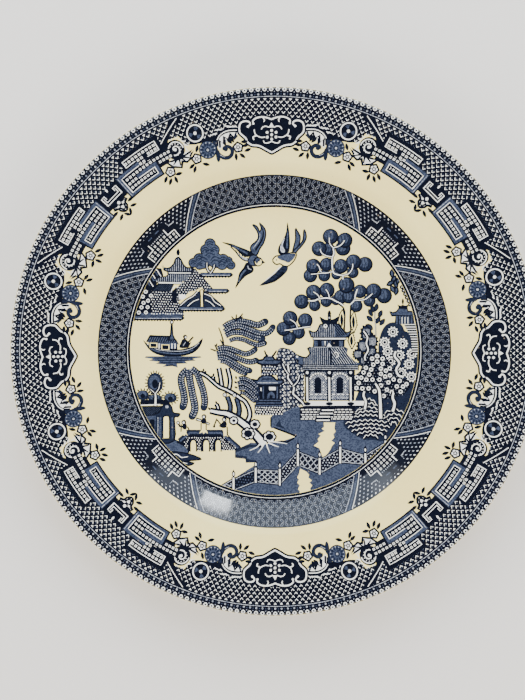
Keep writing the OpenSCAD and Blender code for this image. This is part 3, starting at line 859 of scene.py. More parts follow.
def draw_far_island(art):
    art.piece = "far_island"
    box = (-74, 16, -22, 58)
    side = art.area(DARK, [(-61.6, 43), (-58, 42.6), (-57, 39), (-60, 35.4), (-61.6, 31), (-69, 30),
                           (-68.6, 33), (-65.4, 38)])
    for shift in (0, 1, 2):
        x, y = -60.4 - 2 * shift, 41.4 - 2.6 * shift
        art.curve(BARE, [(x - 1.4, y + 0.6), (x, y + 0.4), (x + 1.2, y - 1.4), (x + 2.2, y - 3)], 0.55)
        art.curve(MID, [(x - 2, y - 0.4), (x - 0.6, y - 0.8), (x + 0.6, y - 2.6)], 0.5)
    thicket = art.area(DARK, [
        (-72, 18), (-46.4, 18), (-46.6, 22.6), (-49.4, 25.4), (-46.6, 27.6), (-43.4, 30.8), (-41, 31),
        (-37.4, 33), (-35, 30.4), (-31, 31.6), (-33.4, 34.6), (-36.6, 38.2), (-40.6, 42.6), (-43.6, 41),
        (-45.4, 37), (-48, 34.6), (-51.6, 31.4), (-63.4, 31.2), (-66.6, 31.8), (-69.6, 26)])
    art.stroke(MID, [(-69, 19), (-47, 19)], 1.2)
    dots(art, BARE, thicket, (-63, 19.4, -30, 43), 1.4, 0.34)
    dots(art, MID, thicket, (-62.4, 20.3, -30, 43), 1.4, 0.3)
    for centre in ((-66, 30.6), (-67.5, 28.1), (-63.4, 28.6), (-64.9, 26), (-67.2, 24.9), (-65.1, 22.7),
                   (-68.2, 22.6), (-69.6, 19.9), (-66, 20)):
        ring_flower(art, centre, 1)
    # Hill, gate and trunk on the nearer bank.
    art.area(DEEP, [(-48, 23), (-44, 27), (-40, 30), (-37.2, 32), (-32.6, 29), (-29, 26), (-25.4, 22.6)])
    for line in ([(-48.4, 23.4), (-45, 26.4), (-41.6, 28.4), (-39.4, 30.8)],
                 [(-44.6, 23.2), (-41.6, 25.6), (-38.8, 26.8)],
                 [(-36, 29.6), (-32.6, 28.2), (-30.6, 25.4), (-27.4, 23.4)],
                 [(-35.6, 26.4), (-33, 25.2), (-30.6, 23)]):
        art.curve(DARK, line, 1.4)
        bumps(art, DARK, line, 0.75, 1.5)
        art.curve(BARE, line, 0.45)
    outlined(art, BARE, [(-37.9, 22.6), (-37.9, 28), (-38.2, 31.6), (-36.2, 31.6), (-36.6, 28),
                         (-36.4, 22.6)], 0.35)
    outlined(art, DARK, [(-52.4, 25.2), (-52.4, 30.6), (-50.6, 32.6), (-50.2, 30), (-50.4, 25.2)], 0.3)
    art.curve(BARE, [(-53, 30.4), (-52.2, 32.4), (-50.8, 33.4)], 0.6)
    art.blob(BARE, [(-48.6, 26.8), (-49, 29), (-46.8, 29.2), (-45.2, 28.4), (-46.4, 27)])
    # Temple.
    lower = [(-62.6, 30.9), (-59.6, 34.8), (-51.4, 34.8), (-53.4, 30.9)]
    roof = art.area(MID, lower)
    ribs(art, DARK, roof, (-66, 30.6, -51, 35), 1.0, 0.4, 1.0)
    art.loop(DARK, lower, 0.4)
    tier = [(-62.2, 36.6), (-59.4, 35.9), (-47.4, 35.7), (-44.6, 37), (-43, 39.9), (-54, 39.9),
            (-55.8, 38.4), (-58.8, 38.2)]
    walls = art.area(MID, tier)
    ribs(art, DARK, walls, (-60, 35.4, -43, 40.2), 1.05, 0.36)
    ribs(art, PALE, walls, (-59.6, 35.4, -43, 40.2), 1.05, 0.26)
    art.loop(DARK, tier, 0.45)
    art.stroke(DARK, [(-60, 35.2), (-47.2, 35.1)], 1.3)
    art.stroke(BARE, [(-59.5, 35.3), (-47.6, 35.1)], 0.8)
    top = [(-57.6, 44.5), (-56.8, 42.9), (-55, 42.6), (-53.2, 43.2), (-51.6, 45), (-50.8, 47.4),
           (-49.4, 48.6), (-48, 47.2), (-46.8, 44.6), (-45.2, 43), (-42.2, 42.9), (-41.4, 42.4),
           (-42.6, 40.8), (-54.4, 40.8), (-56.6, 41.8)]
    dome = art.area(MID, top)
    ribs(art, DARK, dome, (-56, 40.6, -42, 48.6), 1.05, 0.36)
    ribs(art, PALE, dome, (-55.6, 40.6, -42, 48.6), 1.05, 0.26)
    art.loop(DARK, top, 0.6)
    art.stroke(DARK, [(-55, 40.3), (-42.2, 40.2)], 1.1)
    art.stroke(BARE, [(-54.2, 40.35), (-42.8, 40.25)], 0.55)
    art.leaf(DARK, (-49.4, 50.8), 4, 1.9, 90)
    art.disc(BARE, (-49.4, 49), 0.4, 6)
    for left, right, y in ((-72.2, -46.6, 17.1), (-49, -25.6, 21.8), (-34.6, -23.4, 31), (-38, -21.6, 39.3)):
        cloud_bank(art, left, right, y)
    # Round-headed tree.
    lobes = ((-33, 55.2, 2.7), (-35.3, 52.2, 2.6), (-30.8, 52.2, 2.6), (-33, 50.4, 3.8), (-38.6, 47.6, 2.7),
             (-41.6, 45.5, 2.3), (-36.5, 46.4, 3.8), (-30.2, 46.8, 3.8), (-26.2, 47.2, 2.7),
             (-23.7, 46.4, 2.2), (-22.2, 44.3, 2.1), (-26.8, 44.8, 2.8), (-38.4, 44.4, 2.3))
    for x, y, r in lobes:
        art.disc(DARK, (x, y), r + 0.35, 16)
    for x, y, r in lobes:
        art.disc(MID, (x, y), r - 0.2, 16)
    for x, y, r in lobes:
        for k in range(2):
            low = y - 0.45 * r * k
            art.curve(DEEP, [(x - 0.6 * r, low + 0.1 * r), (x - 0.1 * r, low + 0.5 * r),
                             (x + 0.6 * r, low + 0.2 * r)], 0.4)
    branch(art, [(-32.8, 40.2), (-34.4, 42.4), (-34.6, 45.6)], 0.5, 0.3)
    branch(art, [(-32.8, 40.2), (-31.2, 42.6), (-30.8, 44.6)], 0.5, 0.3)


def draw_doves(art):
    art.piece = "doves"
    rounded(art, MID, [
        (-12.2, 52.6), (-11.6, 54.6), (-8.9, 57), (-8.1, 59.4), (-9, 62.2), (-11.1, 65.1), (-8.8, 64.2),
        (-7.4, 61.6), (-6.7, 63.6), (-7.6, 65.9), (-5, 63.4), (-4.3, 59.8), (-5.5, 55.5), (-7.5, 52.5),
        (-8.8, 49.6), (-11, 50)], 0.5)
    art.curve(DARK, [(-9.6, 52), (-6.2, 57.6), (-5.6, 61.4), (-6.8, 64.4)], 0.9, 0.3)
    art.curve(PALE, [(-10.8, 53), (-7.6, 57.6), (-7.4, 60.6)], 0.35, 0.2)
    art.blob(DARK, [(-26.9, 56.1), (-22, 55.3), (-18.6, 54), (-14.4, 52.4), (-11, 50.6), (-12.4, 48.8),
                    (-15.4, 48.6), (-18, 50.8), (-21, 53.4)])
    art.curve(MID, [(-21.6, 54.4), (-17.4, 52.2), (-13.6, 50.2)], 0.7, 1)
    art.blob(PALE, [(-21.4, 53.2), (-18.4, 50.2), (-15.6, 48.2), (-13, 47.8), (-13, 46.6), (-15.4, 46.7),
                    (-17.8, 48.4), (-19.6, 50.8)])
    art.curve(DARK, [(-22.4, 53.9), (-19.6, 51), (-17.6, 48.4), (-15.4, 46.8), (-12.6, 46.3)], 0.5)
    for k in range(5):
        art.stroke(DARK, [(-19.8 + 1.5 * k, 52 - 1 * k), (-18.9 + 1.3 * k, 50.4 - 0.8 * k)], 0.25)
    art.blob(DARK, [(-14.4, 45.6), (-15.8, 43), (-18, 40.2), (-18.8, 36.6), (-20, 32.4), (-17, 36.2),
                    (-14.4, 38.8), (-11.2, 40.6), (-10.5, 42.4), (-12, 44.6)])
    art.curve(MID, [(-18.4, 35.6), (-16.8, 39.4), (-14.6, 42)], 0.5, 0.9)
    art.curve(PALE, [(-13.6, 44), (-13.2, 42.6), (-11.8, 42)], 0.7, 0.5)
    rounded(art, MID, [(-13.2, 47.6), (-11.6, 49.4), (-9, 49.2), (-8, 47), (-9, 44.2), (-12, 44.2),
                       (-13.4, 45.8)], 0.4)
    art.disc(DARK, (-8.3, 46.1), 2.5, 14)
    art.disc(BARE, (-8.1, 46), 1.8, 14)
    art.blob(MID, [(-9.8, 46.6), (-8.6, 47.9), (-7, 47.2), (-8, 46.2), (-9, 45)])
    art.disc(DARK, (-7.6, 46.5), 0.35, 6)
    art.area(DARK, [(-6.4, 47.2), (-4.6, 45.6), (-6.5, 44.7)])
    rounded(art, MID, [(10.9, 62.9), (11.9, 62), (13.4, 59), (13, 55.6), (11.6, 53), (9.6, 51.4),
                       (10.2, 54.4), (11, 58)], 0.5)
    rounded(art, MID, [(15.3, 62.7), (16.5, 60), (16.2, 57.2), (14.2, 54.2), (12.2, 52),
                       (10.4, 49.6), (8.8, 49.4), (9.8, 51.6), (12.6, 54.2), (14.8, 57.4)], 0.5)
    art.blob(DARK, [(6.8, 66.4), (7.7, 62), (8.1, 57), (8, 52.6), (6.6, 49.6), (3.6, 49.4),
                    (2, 51), (2.4, 54), (4.6, 57.4), (6.2, 61.6)])
    art.blob(PALE, [(5.6, 58.6), (3.6, 55.2), (3.1, 52.6), (3.8, 51), (5.4, 50.9), (5.4, 52.2), (4.6, 53.6),
                    (4.6, 55.6)])
    art.stroke(MID, [(7, 62), (6.7, 57), (6.6, 53)], 0.4, 0.9)
    art.blob(DEEP, [(-7.6, 33.7), (-3, 37.4), (0, 39.8), (3, 42.8), (5, 44.4), (7, 44), (6.8, 41.6),
                    (5, 39.4), (2, 36.8), (-1, 35.2)])
    art.curve(DARK, [(-6, 34.4), (0, 36.4), (5, 40.6)], 0.6, 1.4)
    for k in range(5):
        art.stroke(DARK, [(-3.4 + 1.8 * k, 37 + 1.3 * k), (-1.6 + 1.8 * k, 36.2 + 1.4 * k)], 0.25)
    art.curve(BARE, [(-4.8, 36.2), (-1, 39.4), (3.2, 43.4)], 0.4, 0.8)
    body = smooth([(-0.8, 46.7), (0.6, 48.8), (3, 49.3), (6, 50), (9.4, 50.8), (11.4, 50.2),
                   (10.8, 47.6), (9, 45.2), (7, 43.8), (4.8, 44), (3, 45), (1, 44.7)], True, 3)
    outlined(art, BARE, body, 0.5)
    art.blob(MID, [(1.6, 48.6), (6, 49.9), (10.8, 50.2), (10, 47.6), (7.4, 45.6), (5.4, 46.4), (3.4, 47)])
    art.disc(DARK, (1.2, 47), 0.35, 6)


def draw_fruit_tree(art):
    art.piece = "fruit_tree"
    discs = (
        (32, 39.5, 2.7), (40.5, 40.6, 3.1), (25.8, 38.9, 3.2), (18.6, 38.9, 3.6), (34.4, 43.8, 3.8),
        (27, 44.6, 3.6), (20.2, 43.8, 3.9), (46.8, 44.7, 4), (40.8, 46, 4), (35.4, 53, 4), (27.8, 52.4, 3.6),
        (23.2, 52.8, 4), (36.4, 57.1, 4), (29, 59, 4.1),
        (31.8, 26.4, 2.8), (26.8, 25.6, 3), (20.9, 23.6, 3.1), (14.1, 25.5, 3.9), (27.2, 31.4, 4),
        (20.2, 30.4, 4), (34.4, 28, 3.7), (38.6, 28, 3.7), (37.2, 34, 4.3), (49, 26, 3.2),
        (42.2, 23.4, 3.4), (56.6, 28.6, 4.1), (51.2, 31, 4.1), (44.2, 30.8, 3.6),
        (9.6, 13.2, 2.2), (12.6, 9.6, 3.4), (7.8, 6.6, 3.6), (4.8, 11.5, 3.8), (16, 15.8, 3.9),
        (8.2, 17, 3.9))
    for x, y, r in discs:
        art.disc(DARK, (x, y), r, 24)
        art.disc(DEEP, (x - 0.06 * r, y + 0.08 * r), 0.86 * r, 20)
        art.disc(MID, (x - 0.14 * r, y + 0.2 * r), 0.62 * r, 16)
        for k in range(3):
            side = (0.4 * k - 0.5) * r
            art.curve(DARK, [(x + side, y + 0.6 * r), (x + side + 0.12 * r, y),
                             (x + side - 0.05 * r, y - 0.6 * r)], 0.14)
    for line, width in (
            ([(30.4, 53.2), (30.7, 50), (29.8, 47.8), (30.2, 41.2), (32, 39.6), (35.4, 39)], 0.8),
            ([(30.5, 53.2), (28.6, 55.4), (28.4, 58.4)], 0.55),
            ([(30.5, 53.2), (34, 54.4), (36.2, 57)], 0.55),
            ([(30, 48.6), (27.2, 49), (24.6, 50.4), (23.6, 52.6)], 0.55),
            ([(30.2, 41), (26, 40.2), (24, 41), (23.2, 43.4), (22, 44.8)], 0.55),
            ([(25, 40.2), (19, 39.6)], 0.45),
            ([(35.4, 39), (38.4, 40), (40.2, 42.6), (40.4, 45)], 0.55),
            ([(35.4, 39), (35.4, 37)], 0.7),
            ([(36.6, 22), (35, 24), (32, 25.6), (28.5, 27.3), (23.5, 27.1), (20.6, 26), (17.5, 26)], 0.8),
            ([(28.4, 27.6), (27.8, 30), (26.6, 31.8)], 0.5),
            ([(23.5, 27.1), (22.4, 29), (20.2, 30.6)], 0.5),
            ([(38.4, 23.4), (41.2, 26.2), (41.8, 29), (42.8, 32)], 0.7),
            ([(41.2, 26.2), (46.5, 26.6), (50.5, 29.6)], 0.55),
            ([(19, 12.4), (17.6, 12.6), (12.5, 11.8), (8, 11), (5.4, 10.8)], 0.55),
            ([(12, 11.8), (11, 14.4), (8.2, 16.4)], 0.5)):
        branch(art, line, width, edge=0.55)
    for x, y, tall in ((34.8, 16, 5), (40.8, 15, 5), (39.8, 5.4, 3.8)):
        outline = [(x - 1.5, y), (x - 0.8, y + tall * 0.6), (x + 0.4, y + tall), (x + 1.1, y + tall * 0.4),
                   (x + 1.6, y - tall * 0.3), (x + 0.2, y - tall), (x - 0.8, y - tall * 0.5)]
        bumps(art, DARK, outline + outline[:1], 0.7, 1.2)
        art.area(BARE, outline)
        art.leaf(DARK, (x, y), tall * 1.4, 1.7, 92)
    art.area(BARE, [(36, 10), (36.2, 17), (36.2, 21), (35.4, 23.4), (37, 24.6), (39.2, 24.4), (39, 16),
                    (39.4, 10)])
    art.curve(DARK, [(36, 10), (36.3, 17), (36.2, 20.6), (35, 23), (32.4, 24.8)], 0.7)
    art.stroke(DARK, [(39.5, 10), (39.1, 16), (39.4, 23.6)], 0.7)


def draw_blossom_trees(art):
    art.piece = "blossom_trees"
    art.blob(DEEP, [(55.4, -8), (53.6, 0), (54.4, 7.6), (57, 13), (61, 15), (65.4, 13.8), (67.4, 10.4),
                    (71, 9.6), (75.6, 10), (77, -2), (76, -14), (72, -26), (66, -38), (58, -46),
                    (48, -44), (42, -34), (42, -24), (48, -14)])
    for centre in ((61.1, 10), (56.9, 4.6), (66.1, 4), (58.4, 0), (60, -5), (64.5, -2), (70.8, -1.3),
                   (69.4, -6.6), (70.6, -13.2), (65.5, -11)):
        wheel_flower(art, centre)
    # Leafy tree beside the pavilion, with its crooked white stem.
    for x, y, wide, tall in ((47.4, 9.2, 3, 4.2), (50.6, 5, 2.6, 3.6), (45.6, 2.6, 3, 3.6),
                             (50, -0.8, 3, 3.6), (46.4, -4.6, 3.2, 3), (43, -1.6, 2.4, 2.6)):
        for k in range(12):
            t = 2 * math.pi * k / 12
            art.disc(DARK, (x + wide * math.cos(t), y + tall * math.sin(t)), 0.6, 6)
        art.oval(DARK, (x, y), wide, tall)
        art.oval(DEEP, (x, y), wide - 0.7, tall - 0.7)
        for k in range(-2, 3):
            across = 0.62 * k
            art.stroke(PALE, [(x + across, y - 0.62 * tall + 0.2 * abs(k)),
                              (x + 1.15 * across, y + 0.55 * tall)], 0.3)
    for line, width in (([(46, 10.4), (48, 7.2), (47.4, 4), (48.4, 0.6), (46.6, -3), (47.8, -6.6)], 0.8),
                        ([(62.6, 0), (62, -2.6), (64.4, -6), (62.8, -9.4), (64, -12.4), (66, -13)], 1.2)):
        branch(art, line, width)
    ground = art.area(DARK, [(49, -1.6), (54.6, 0), (59, -5), (62, -9), (63.4, -13), (69.6, -15), (70, -18.6),
                             (66.6, -22.4), (57, -25), (53, -22.6), (46, -21.2), (40.8, -20.6),
                             (40.8, -13), (44, -10.4), (45.4, -7)])
    dots(art, PALE, ground, (41, -24, 69, 0), 1.6, 0.2)
    for centre in (
            (53, -2.5), (50.4, -3.8), (55.8, -3.8), (53, -5.3), (55.8, -6.5), (51, -6.9), (47.2, -8.5),
            (49.9, -9.4), (54.9, -8.9), (59.5, -8.8), (57.5, -10), (46, -10.9), (54.9, -11.6),
            (48.9, -12), (59.6, -12.4), (57.1, -13), (42.4, -13.4), (44.8, -13.6), (47.4, -14.6),
            (50.6, -14.6), (54.2, -14.6), (61.5, -14.5), (64.6, -15.2), (43.5, -16.3), (58.8, -16),
            (54.9, -17.6), (68.1, -16.9), (66.3, -18.2), (63.1, -18.1), (42.3, -18.9), (45.4, -19.1),
            (48.6, -19.1), (51.7, -20.6), (58, -19.8), (60.5, -21), (65.1, -20.8), (56.4, -23)):
        ring_flower(art, centre)
    # Terraced hills.
    art.blob(DEEP, [(45, -26.8), (37.6, -33.8), (35.6, -38), (40, -42), (47, -45.6), (54, -45), (60, -41.4),
                    (64.8, -36.6), (67, -31.4), (61, -28.8), (53.6, -27.4)])
    terraces = ((45.6, 52.4, -26.8), (44, 54, -28.9), (42, 55.6, -31), (40, 57, -33), (38, 58.6, -35),
                (36.8, 59.6, -37), (38, 59.4, -39), (40, 58, -41), (42.6, 56, -42.8), (46, 53.4, -44.4),
                (57, 66.6, -31.6), (57.8, 65.6, -33.7), (58.6, 64.4, -35.8), (60, 63, -37.8))
    for n, (left, right, y) in enumerate(terraces):
        count = max(2, round((right - left) / 2.7))
        line = []
        for k in range(2 * count + 1):
            bow = (1.5 if n > 4 else 2.2) * math.sin(math.pi * k / (2 * count))
            line.append((left + (right - left) * k / 2 / count, y + bow + (0.5 if k % 2 else -0.35)))
        art.curve(DARK, [(x, v - 0.6) for x, v in line], 1.3)
        art.curve(STAINED, line, 0.38)
    for line, width, end in (([(46.4, -20.6), (46, -23), (47.2, -26), (46.6, -29.8)], 1.1, 1.3),
                             ([(52, -16.6), (54, -20), (54.6, -26), (54.8, -34.6)], 1, 1.9),
                             ([(61.4, -21.4), (61, -24), (62, -27), (61, -31)], 1.2, 1.6)):
        branch(art, line, width, end)
    # Leaf spray, hanging leaves and the small temple at the edge.
    branch(art, [(52.4, 8), (52.2, 13), (51.8, 18), (52.2, 22.6)], 0.25, 0.2, 0.3)
    for x, y, turn in ((52.6, 22.6, 78), (49.6, 19.8, 118), (54.6, 19.2, 66), (49.2, 16.8, 140),
                       (55.6, 15, 52), (49.2, 12.6, 138), (53.4, 16, 60), (50.6, 22, 110)):
        art.leaf(DARK, (x, y), 4.6, 2.6, turn)
        art.leaf(DEEP, (x, y), 3.4, 1.5, turn)
    for x, y, turn in ((60.6, 40, 95), (61.4, 37, 60), (59.8, 35, 30), (62.6, 34.6, 100), (62.8, 31, 80),
                       (61, 32, 120), (64, 36.6, 60)):
        art.leaf(DARK, (x, y), 5, 3, turn)
        art.leaf(MID, (x, y), 3.2, 1.2, turn)
    for k in range(6):
        art.disc(DARK, (65.6 + 0.85 * k, 33 - 1.8 * k), 1.1, 8)
        art.disc(STAINED, (65.6 + 0.85 * k, 33 - 1.8 * k), 0.3, 6)
    art.leaf(DARK, (66.2, 25.6), 3.4, 1.2, 90)
    art.area(DARK, [(63.4, 24), (64.4, 22), (68.4, 22), (69.2, 24), (67.4, 23.4), (66.2, 24), (65, 23.4)])
    outlined(art, MID, [(59.4, 20.6), (60.4, 18.4), (71.4, 18.2), (71.2, 20.4), (68.8, 20.6), (68.4, 22.2),
                        (64.2, 22.2), (63, 20.4), (61, 19.8)], 0.45)
    temple = art.area(MID, [(62.4, 18.2), (71.6, 18.2), (72.2, 14), (62, 14)])
    ribs(art, DARK, temple, (62.4, 14, 72, 18.4), 1.5, 0.5)
    ribs(art, STAINED, temple, (65.8, 14, 70, 17.6), 1.5, 0.4)
    ladder = art.area(DARK, [(66.6, 14.2), (73, 14.2), (74, 8), (74.6, -1), (71, -1), (70.4, 7)])
    courses(art, STAINED, ladder, (66, 0, 75, 14), 1.25, 0.5)


def draw_pavilion(art):
    art.piece = "pavilion"
    # Platform, steps and paving.
    art.area(DARK, [(13.2, -35.6), (13.2, -28.6), (42, -28.6), (41, -35.6)])
    for n, y in enumerate((-30, -31.3, -32.6, -33.8, -34.8)):
        x = 13.8 + 0.7 * (n % 2)
        while x < 40.4 - n * 0.3:
            art.stroke(STAINED, [(x, y), (x + 1.5, y)], 0.62)
            x += 2.05
    for left, right, y in ((24.6, 30.8, -30.3), (23.6, 30.2, -32), (22, 28.8, -33.7), (21.8, 28.6, -35.5)):
        art.area(DARK, [(left - 0.8, y + 0.9), (right + 0.8, y + 0.9), (right + 0.4, y - 0.9),
                        (left - 0.8, y - 0.9)])
        art.stroke(STAINED, [(left, y), (right, y)], 0.8)
    outlined(art, STAINED, [(17.6, -25.6), (46.4, -25.6), (46, -28.4), (14.4, -28.4)], 0.5)
    # Room behind the columns.
    art.area(DARK, [(15.6, -9.6), (41.6, -9.6), (41.2, -25.4), (16.2, -25.4)])
    for left, right, door in ((18, 27.4, 22.5), (29.4, 38.6, 33.8)):
        wall = art.block(DEEP, left, -10.6, right, -24.8)
        ribs(art, PALE, wall, (left - 12, -25, right, -10.4), 1.15, 0.24, 0.9)
        ribs(art, PALE, wall, (left, -25, right + 12, -10.4), 1.15, 0.24, -0.9)
        middle = (left + right) / 2
        for k in range(9):
            t = math.radians(20 * k + 10)
            x, y = middle + 4.1 * math.cos(t), -14.6 + 3.2 * math.sin(t)
            art.disc(DARK, (x, y), 0.8, 7)
            art.disc(STAINED, (x, y), 0.5, 7)
        for k in range(3):
            for x in (door - 2.9, door + 2.9):
                art.disc(STAINED, (x, -16 - 2 * k), 0.4, 6)
        art.area(DARK, [(door - 1.7, -21.6), (door - 1.7, -14.4), (door, -13.2), (door + 1.7, -14.4),
                        (door + 1.7, -21.6)])
        for k in range(4):
            x = left + 1.2 + k * 2.4
            art.stroke(STAINED, [(x - 0.7, -22.2), (x + 0.7, -22.2)], 0.5)
            art.stroke(PALE, [(x - 0.7, -24), (x + 0.7, -24)], 0.4)
    for x in (17, 28.4, 39.4):
        art.area(DARK, [(x - 2.2, -10.2), (x + 2.2, -10.2), (x + 1.2, -13.2), (x - 1.2, -13.2)])
        art.disc(STAINED, (x, -11), 0.75, 8)
        outlined(art, STAINED, [(x - 0.8, -13.3), (x + 0.8, -13.3), (x + 0.8, -25.8), (x - 0.8, -25.8)], 0.4)
        art.oval(DARK, (x, -27), 1.9, 0.95)
    # Lower roof.
    lower = smooth([(18.6, 2.2), (36.6, 2.2), (37.4, -1.2), (40, -4.2), (43.6, -6.2), (43.2, -7.2),
                    (14.6, -7.2), (12.4, -4.6), (10.6, -4.4), (10.2, -2.8), (11.4, -1.8), (13.4, -2.6),
                    (16.4, -3.2), (18.4, -1)], True, 3)
    roof = art.area(MID, lower)
    ribs(art, DARK, roof, (15, -7, 29, 2.4), 1.0, 0.36)
    ribs(art, PALE, roof, (15.4, -7, 29, 2.4), 1.0, 0.24)
    slope = art.area(MID, [(28, 2.2), (36.4, 2.2), (38, -2), (43, -6.4), (29.4, -6.8), (29.8, -3)])
    ribs(art, DARK, slope, (26, -7, 50, 2.4), 1.25, 0.45, -0.7)
    ribs(art, PALE, slope, (26.6, -7, 50, 2.4), 1.25, 0.3, -0.7)
    art.loop(DARK, lower, 0.55)
    art.stroke(DARK, [(28.2, 2), (29.6, -2), (29.2, -6.6)], 0.5)
    art.curve(STAINED, [(31, -0.6), (32.6, -0.8), (33, -2.4), (31.8, -3.2)], 0.5)
    art.disc(STAINED, (11.8, -2.8), 0.55, 7)
    art.block(DARK, 14.4, -6.8, 43.6, -9.8)
    for y in (-7.5, -8.4, -9.3):
        art.stroke(PALE, [(14.8, y), (43.2, y)], 0.3)
    # Upper storey and roof.
    storey = art.area(DARK, [(20.2, 6), (36.4, 6), (36.2, 1.8), (19.8, 1.8)])
    for x0, x1 in ((20.6, 22.4), (24.4, 25.6), (27, 27.8), (28.4, 29.2), (33.4, 35.4)):
        art.block(MID, x0, 5.4, x1, 2.6)
    art.area(STAINED, [(25.8, 5.2), (26.6, 5.2), (26.2, 2.6)])
    art.area(STAINED, [(28.2, 4.4), (29.6, 2.4), (27.2, 2.4)])
    courses(art, PALE, storey, (20.4, 2.1, 36, 2.2), 1, 0.3)
    upper = smooth([(24.6, 14), (33, 14), (35, 11.4), (37.4, 9.6), (39.4, 10.4), (38.4, 8.2), (36.6, 7.2),
                    (20.6, 7.2), (18.8, 8.2), (18, 10.6), (20, 9.8), (22, 10.4), (23, 12.4)], True, 3)
    roof = art.area(MID, upper)
    ribs(art, DARK, roof, (19, 7, 31, 14.4), 0.95, 0.34)
    ribs(art, PALE, roof, (19.4, 7, 31, 14.4), 0.95, 0.24)
    slope = art.area(MID, [(30.4, 14), (33.2, 14), (35.4, 11), (38, 8.6), (31.6, 7.4), (31.8, 10)])
    ribs(art, DARK, slope, (30, 7, 46, 14.2), 1.2, 0.4, -0.8)
    art.loop(DARK, upper, 0.5)
    art.disc(DARK, (26.6, 13.2), 1.6, 12)
    art.disc(STAINED, (26.4, 13), 1, 10)
    art.disc(DARK, (26.4, 13.2), 0.42, 7)
    art.stroke(DARK, [(19.8, 6.5), (37.2, 6.5)], 1.6)
    art.stroke(STAINED, [(20.2, 6.5), (36.8, 6.5)], 0.85)
    art.blob(DARK, [(23.4, 17.8), (24.6, 14.6), (26, 14), (31, 14), (32.6, 14.8), (33.4, 18), (30.6, 16.6),
                    (28.4, 16.2), (26, 16.4)])
    art.stroke(DARK, [(28.4, 16), (28.4, 18.6)], 1.6)
    art.disc(PALE, (28.4, 17.2), 0.5, 7)
    art.leaf(DARK, (28.4, 19.4), 3.6, 1.9, 90)


def draw_tea_house(art):
    art.piece = "tea_house"
    thicket = art.blob(DEEP, [(2, 0.8), (6, 1.6), (10, 0), (13.4, -3.6), (15.4, -8), (15.4, -16), (15.6, -24),
                              (14, -27.6), (9, -29.4), (5, -31), (3, -28), (2, -16), (0.6, -8)])
    for row in range(21):
        for k in range(9):
            x = 1.6 + k * 1.75 + 0.87 * (row % 2)
            y = 0.6 - row * 1.55
            wobble = 0.3 * math.sin(3.1 * row + 4.7 * k)
            art.window = thicket
            art.disc(DARK, (x + wobble, y - wobble), 0.8, 8)
            art.disc(PALE if (row + k) % 2 else STAINED, (x + wobble, y - wobble), 0.52, 8)
            art.disc(DARK, (x + wobble, y - wobble), 0.22, 5)
            art.window = None
    for line, width in (([(7, -7), (7.6, -11), (7, -13.4), (8.8, -16.4), (10.2, -18.6), (9.8, -21.8),
                          (11.6, -23.6), (14.2, -26), (15.4, -27.6)], 0.9),
                        ([(7.4, -12), (5.4, -9), (4.4, -6.4)], 0.5),
                        ([(9.6, -18), (12, -15.6), (13, -12.4)], 0.5)):
        branch(art, line, width)
    # Plinth, body and two domed roofs.
    plinth = art.block(DARK, -10.2, -28.4, 4.6, -32.9)
    dots(art, STAINED, plinth, (-9.8, -32.4, 4.4, -28.8), 1.35, 0.4)
    for half, y in ((6.3, -25.2), (6.9, -26.6), (7.5, -28)):
        art.block(DARK, -2.7 - half, y + 0.7, -2.7 + half, y - 0.7)
        art.stroke(MID, [(-2.3 - half, y), (-3.1 + half, y)], 0.5)
    art.block(DARK, -8.8, -17, 3, -25)
    for x in (-8, -5.6, 1.6):
        art.stroke(MID, [(x, -18.2), (x, -24.4)], 0.6)
    outlined(art, MID, smooth([(-3.8, -24.6), (-3.8, -22.4), (-2.4, -20.6), (-0.8, -20.6), (0.6, -22.4),
                               (0.6, -24.6)]), 0.5)
    art.block(DARK, -2.4, -24.6, -0.8, -22.6)
    art.block(STAINED, -2.6, -18.4, 0.8, -20)
    art.stroke(STAINED, [(-6.8, -18.8), (-6.8, -20.4)], 0.7)
    rounded(art, MID, [(-11.6, -14.6), (-9.4, -17.2), (2.8, -17.2), (4.6, -14.8), (1.2, -14.8),
                       (-0.8, -13), (-4.2, -12.2), (-7.4, -13.4), (-8.8, -15)], 0.8)
    art.stroke(PALE, [(-8.4, -16.2), (1.8, -16.2)], 0.45)
    art.stroke(DEEP, [(-6.4, -14.4), (-0.8, -14.2)], 0.6)
    band = art.block(DARK, -6.8, -6.6, 1.6, -12.4)
    dots(art, STAINED, band, (-6.2, -11.8, 1.4, -7.2), 1.5, 0.36)
    courses(art, MID, band, (-6.4, -11.1, 1.2, -7), 2.6, 0.5)
    rounded(art, MID, [(-9, -4.8), (-7, -6.7), (2, -6.7), (3.8, -4.6), (0.6, -4.4), (-1, -2.8),
                       (-4.4, -2.7), (-6, -4.4)], 0.8)
    art.stroke(DEEP, [(-5, -4.8), (0, -4.8)], 0.6)
    for x, tip in ((-4.2, -5), (0, 1.2)):
        art.curve(DARK, [(-2.1 + (x + 2.1) * 0.5, -2.7), (x, -1.6), (tip, 0.4)], 1.1, 0.5)
    art.stroke(STAINED, [(-3, -2.3), (-1.2, -2.3)], 0.6)


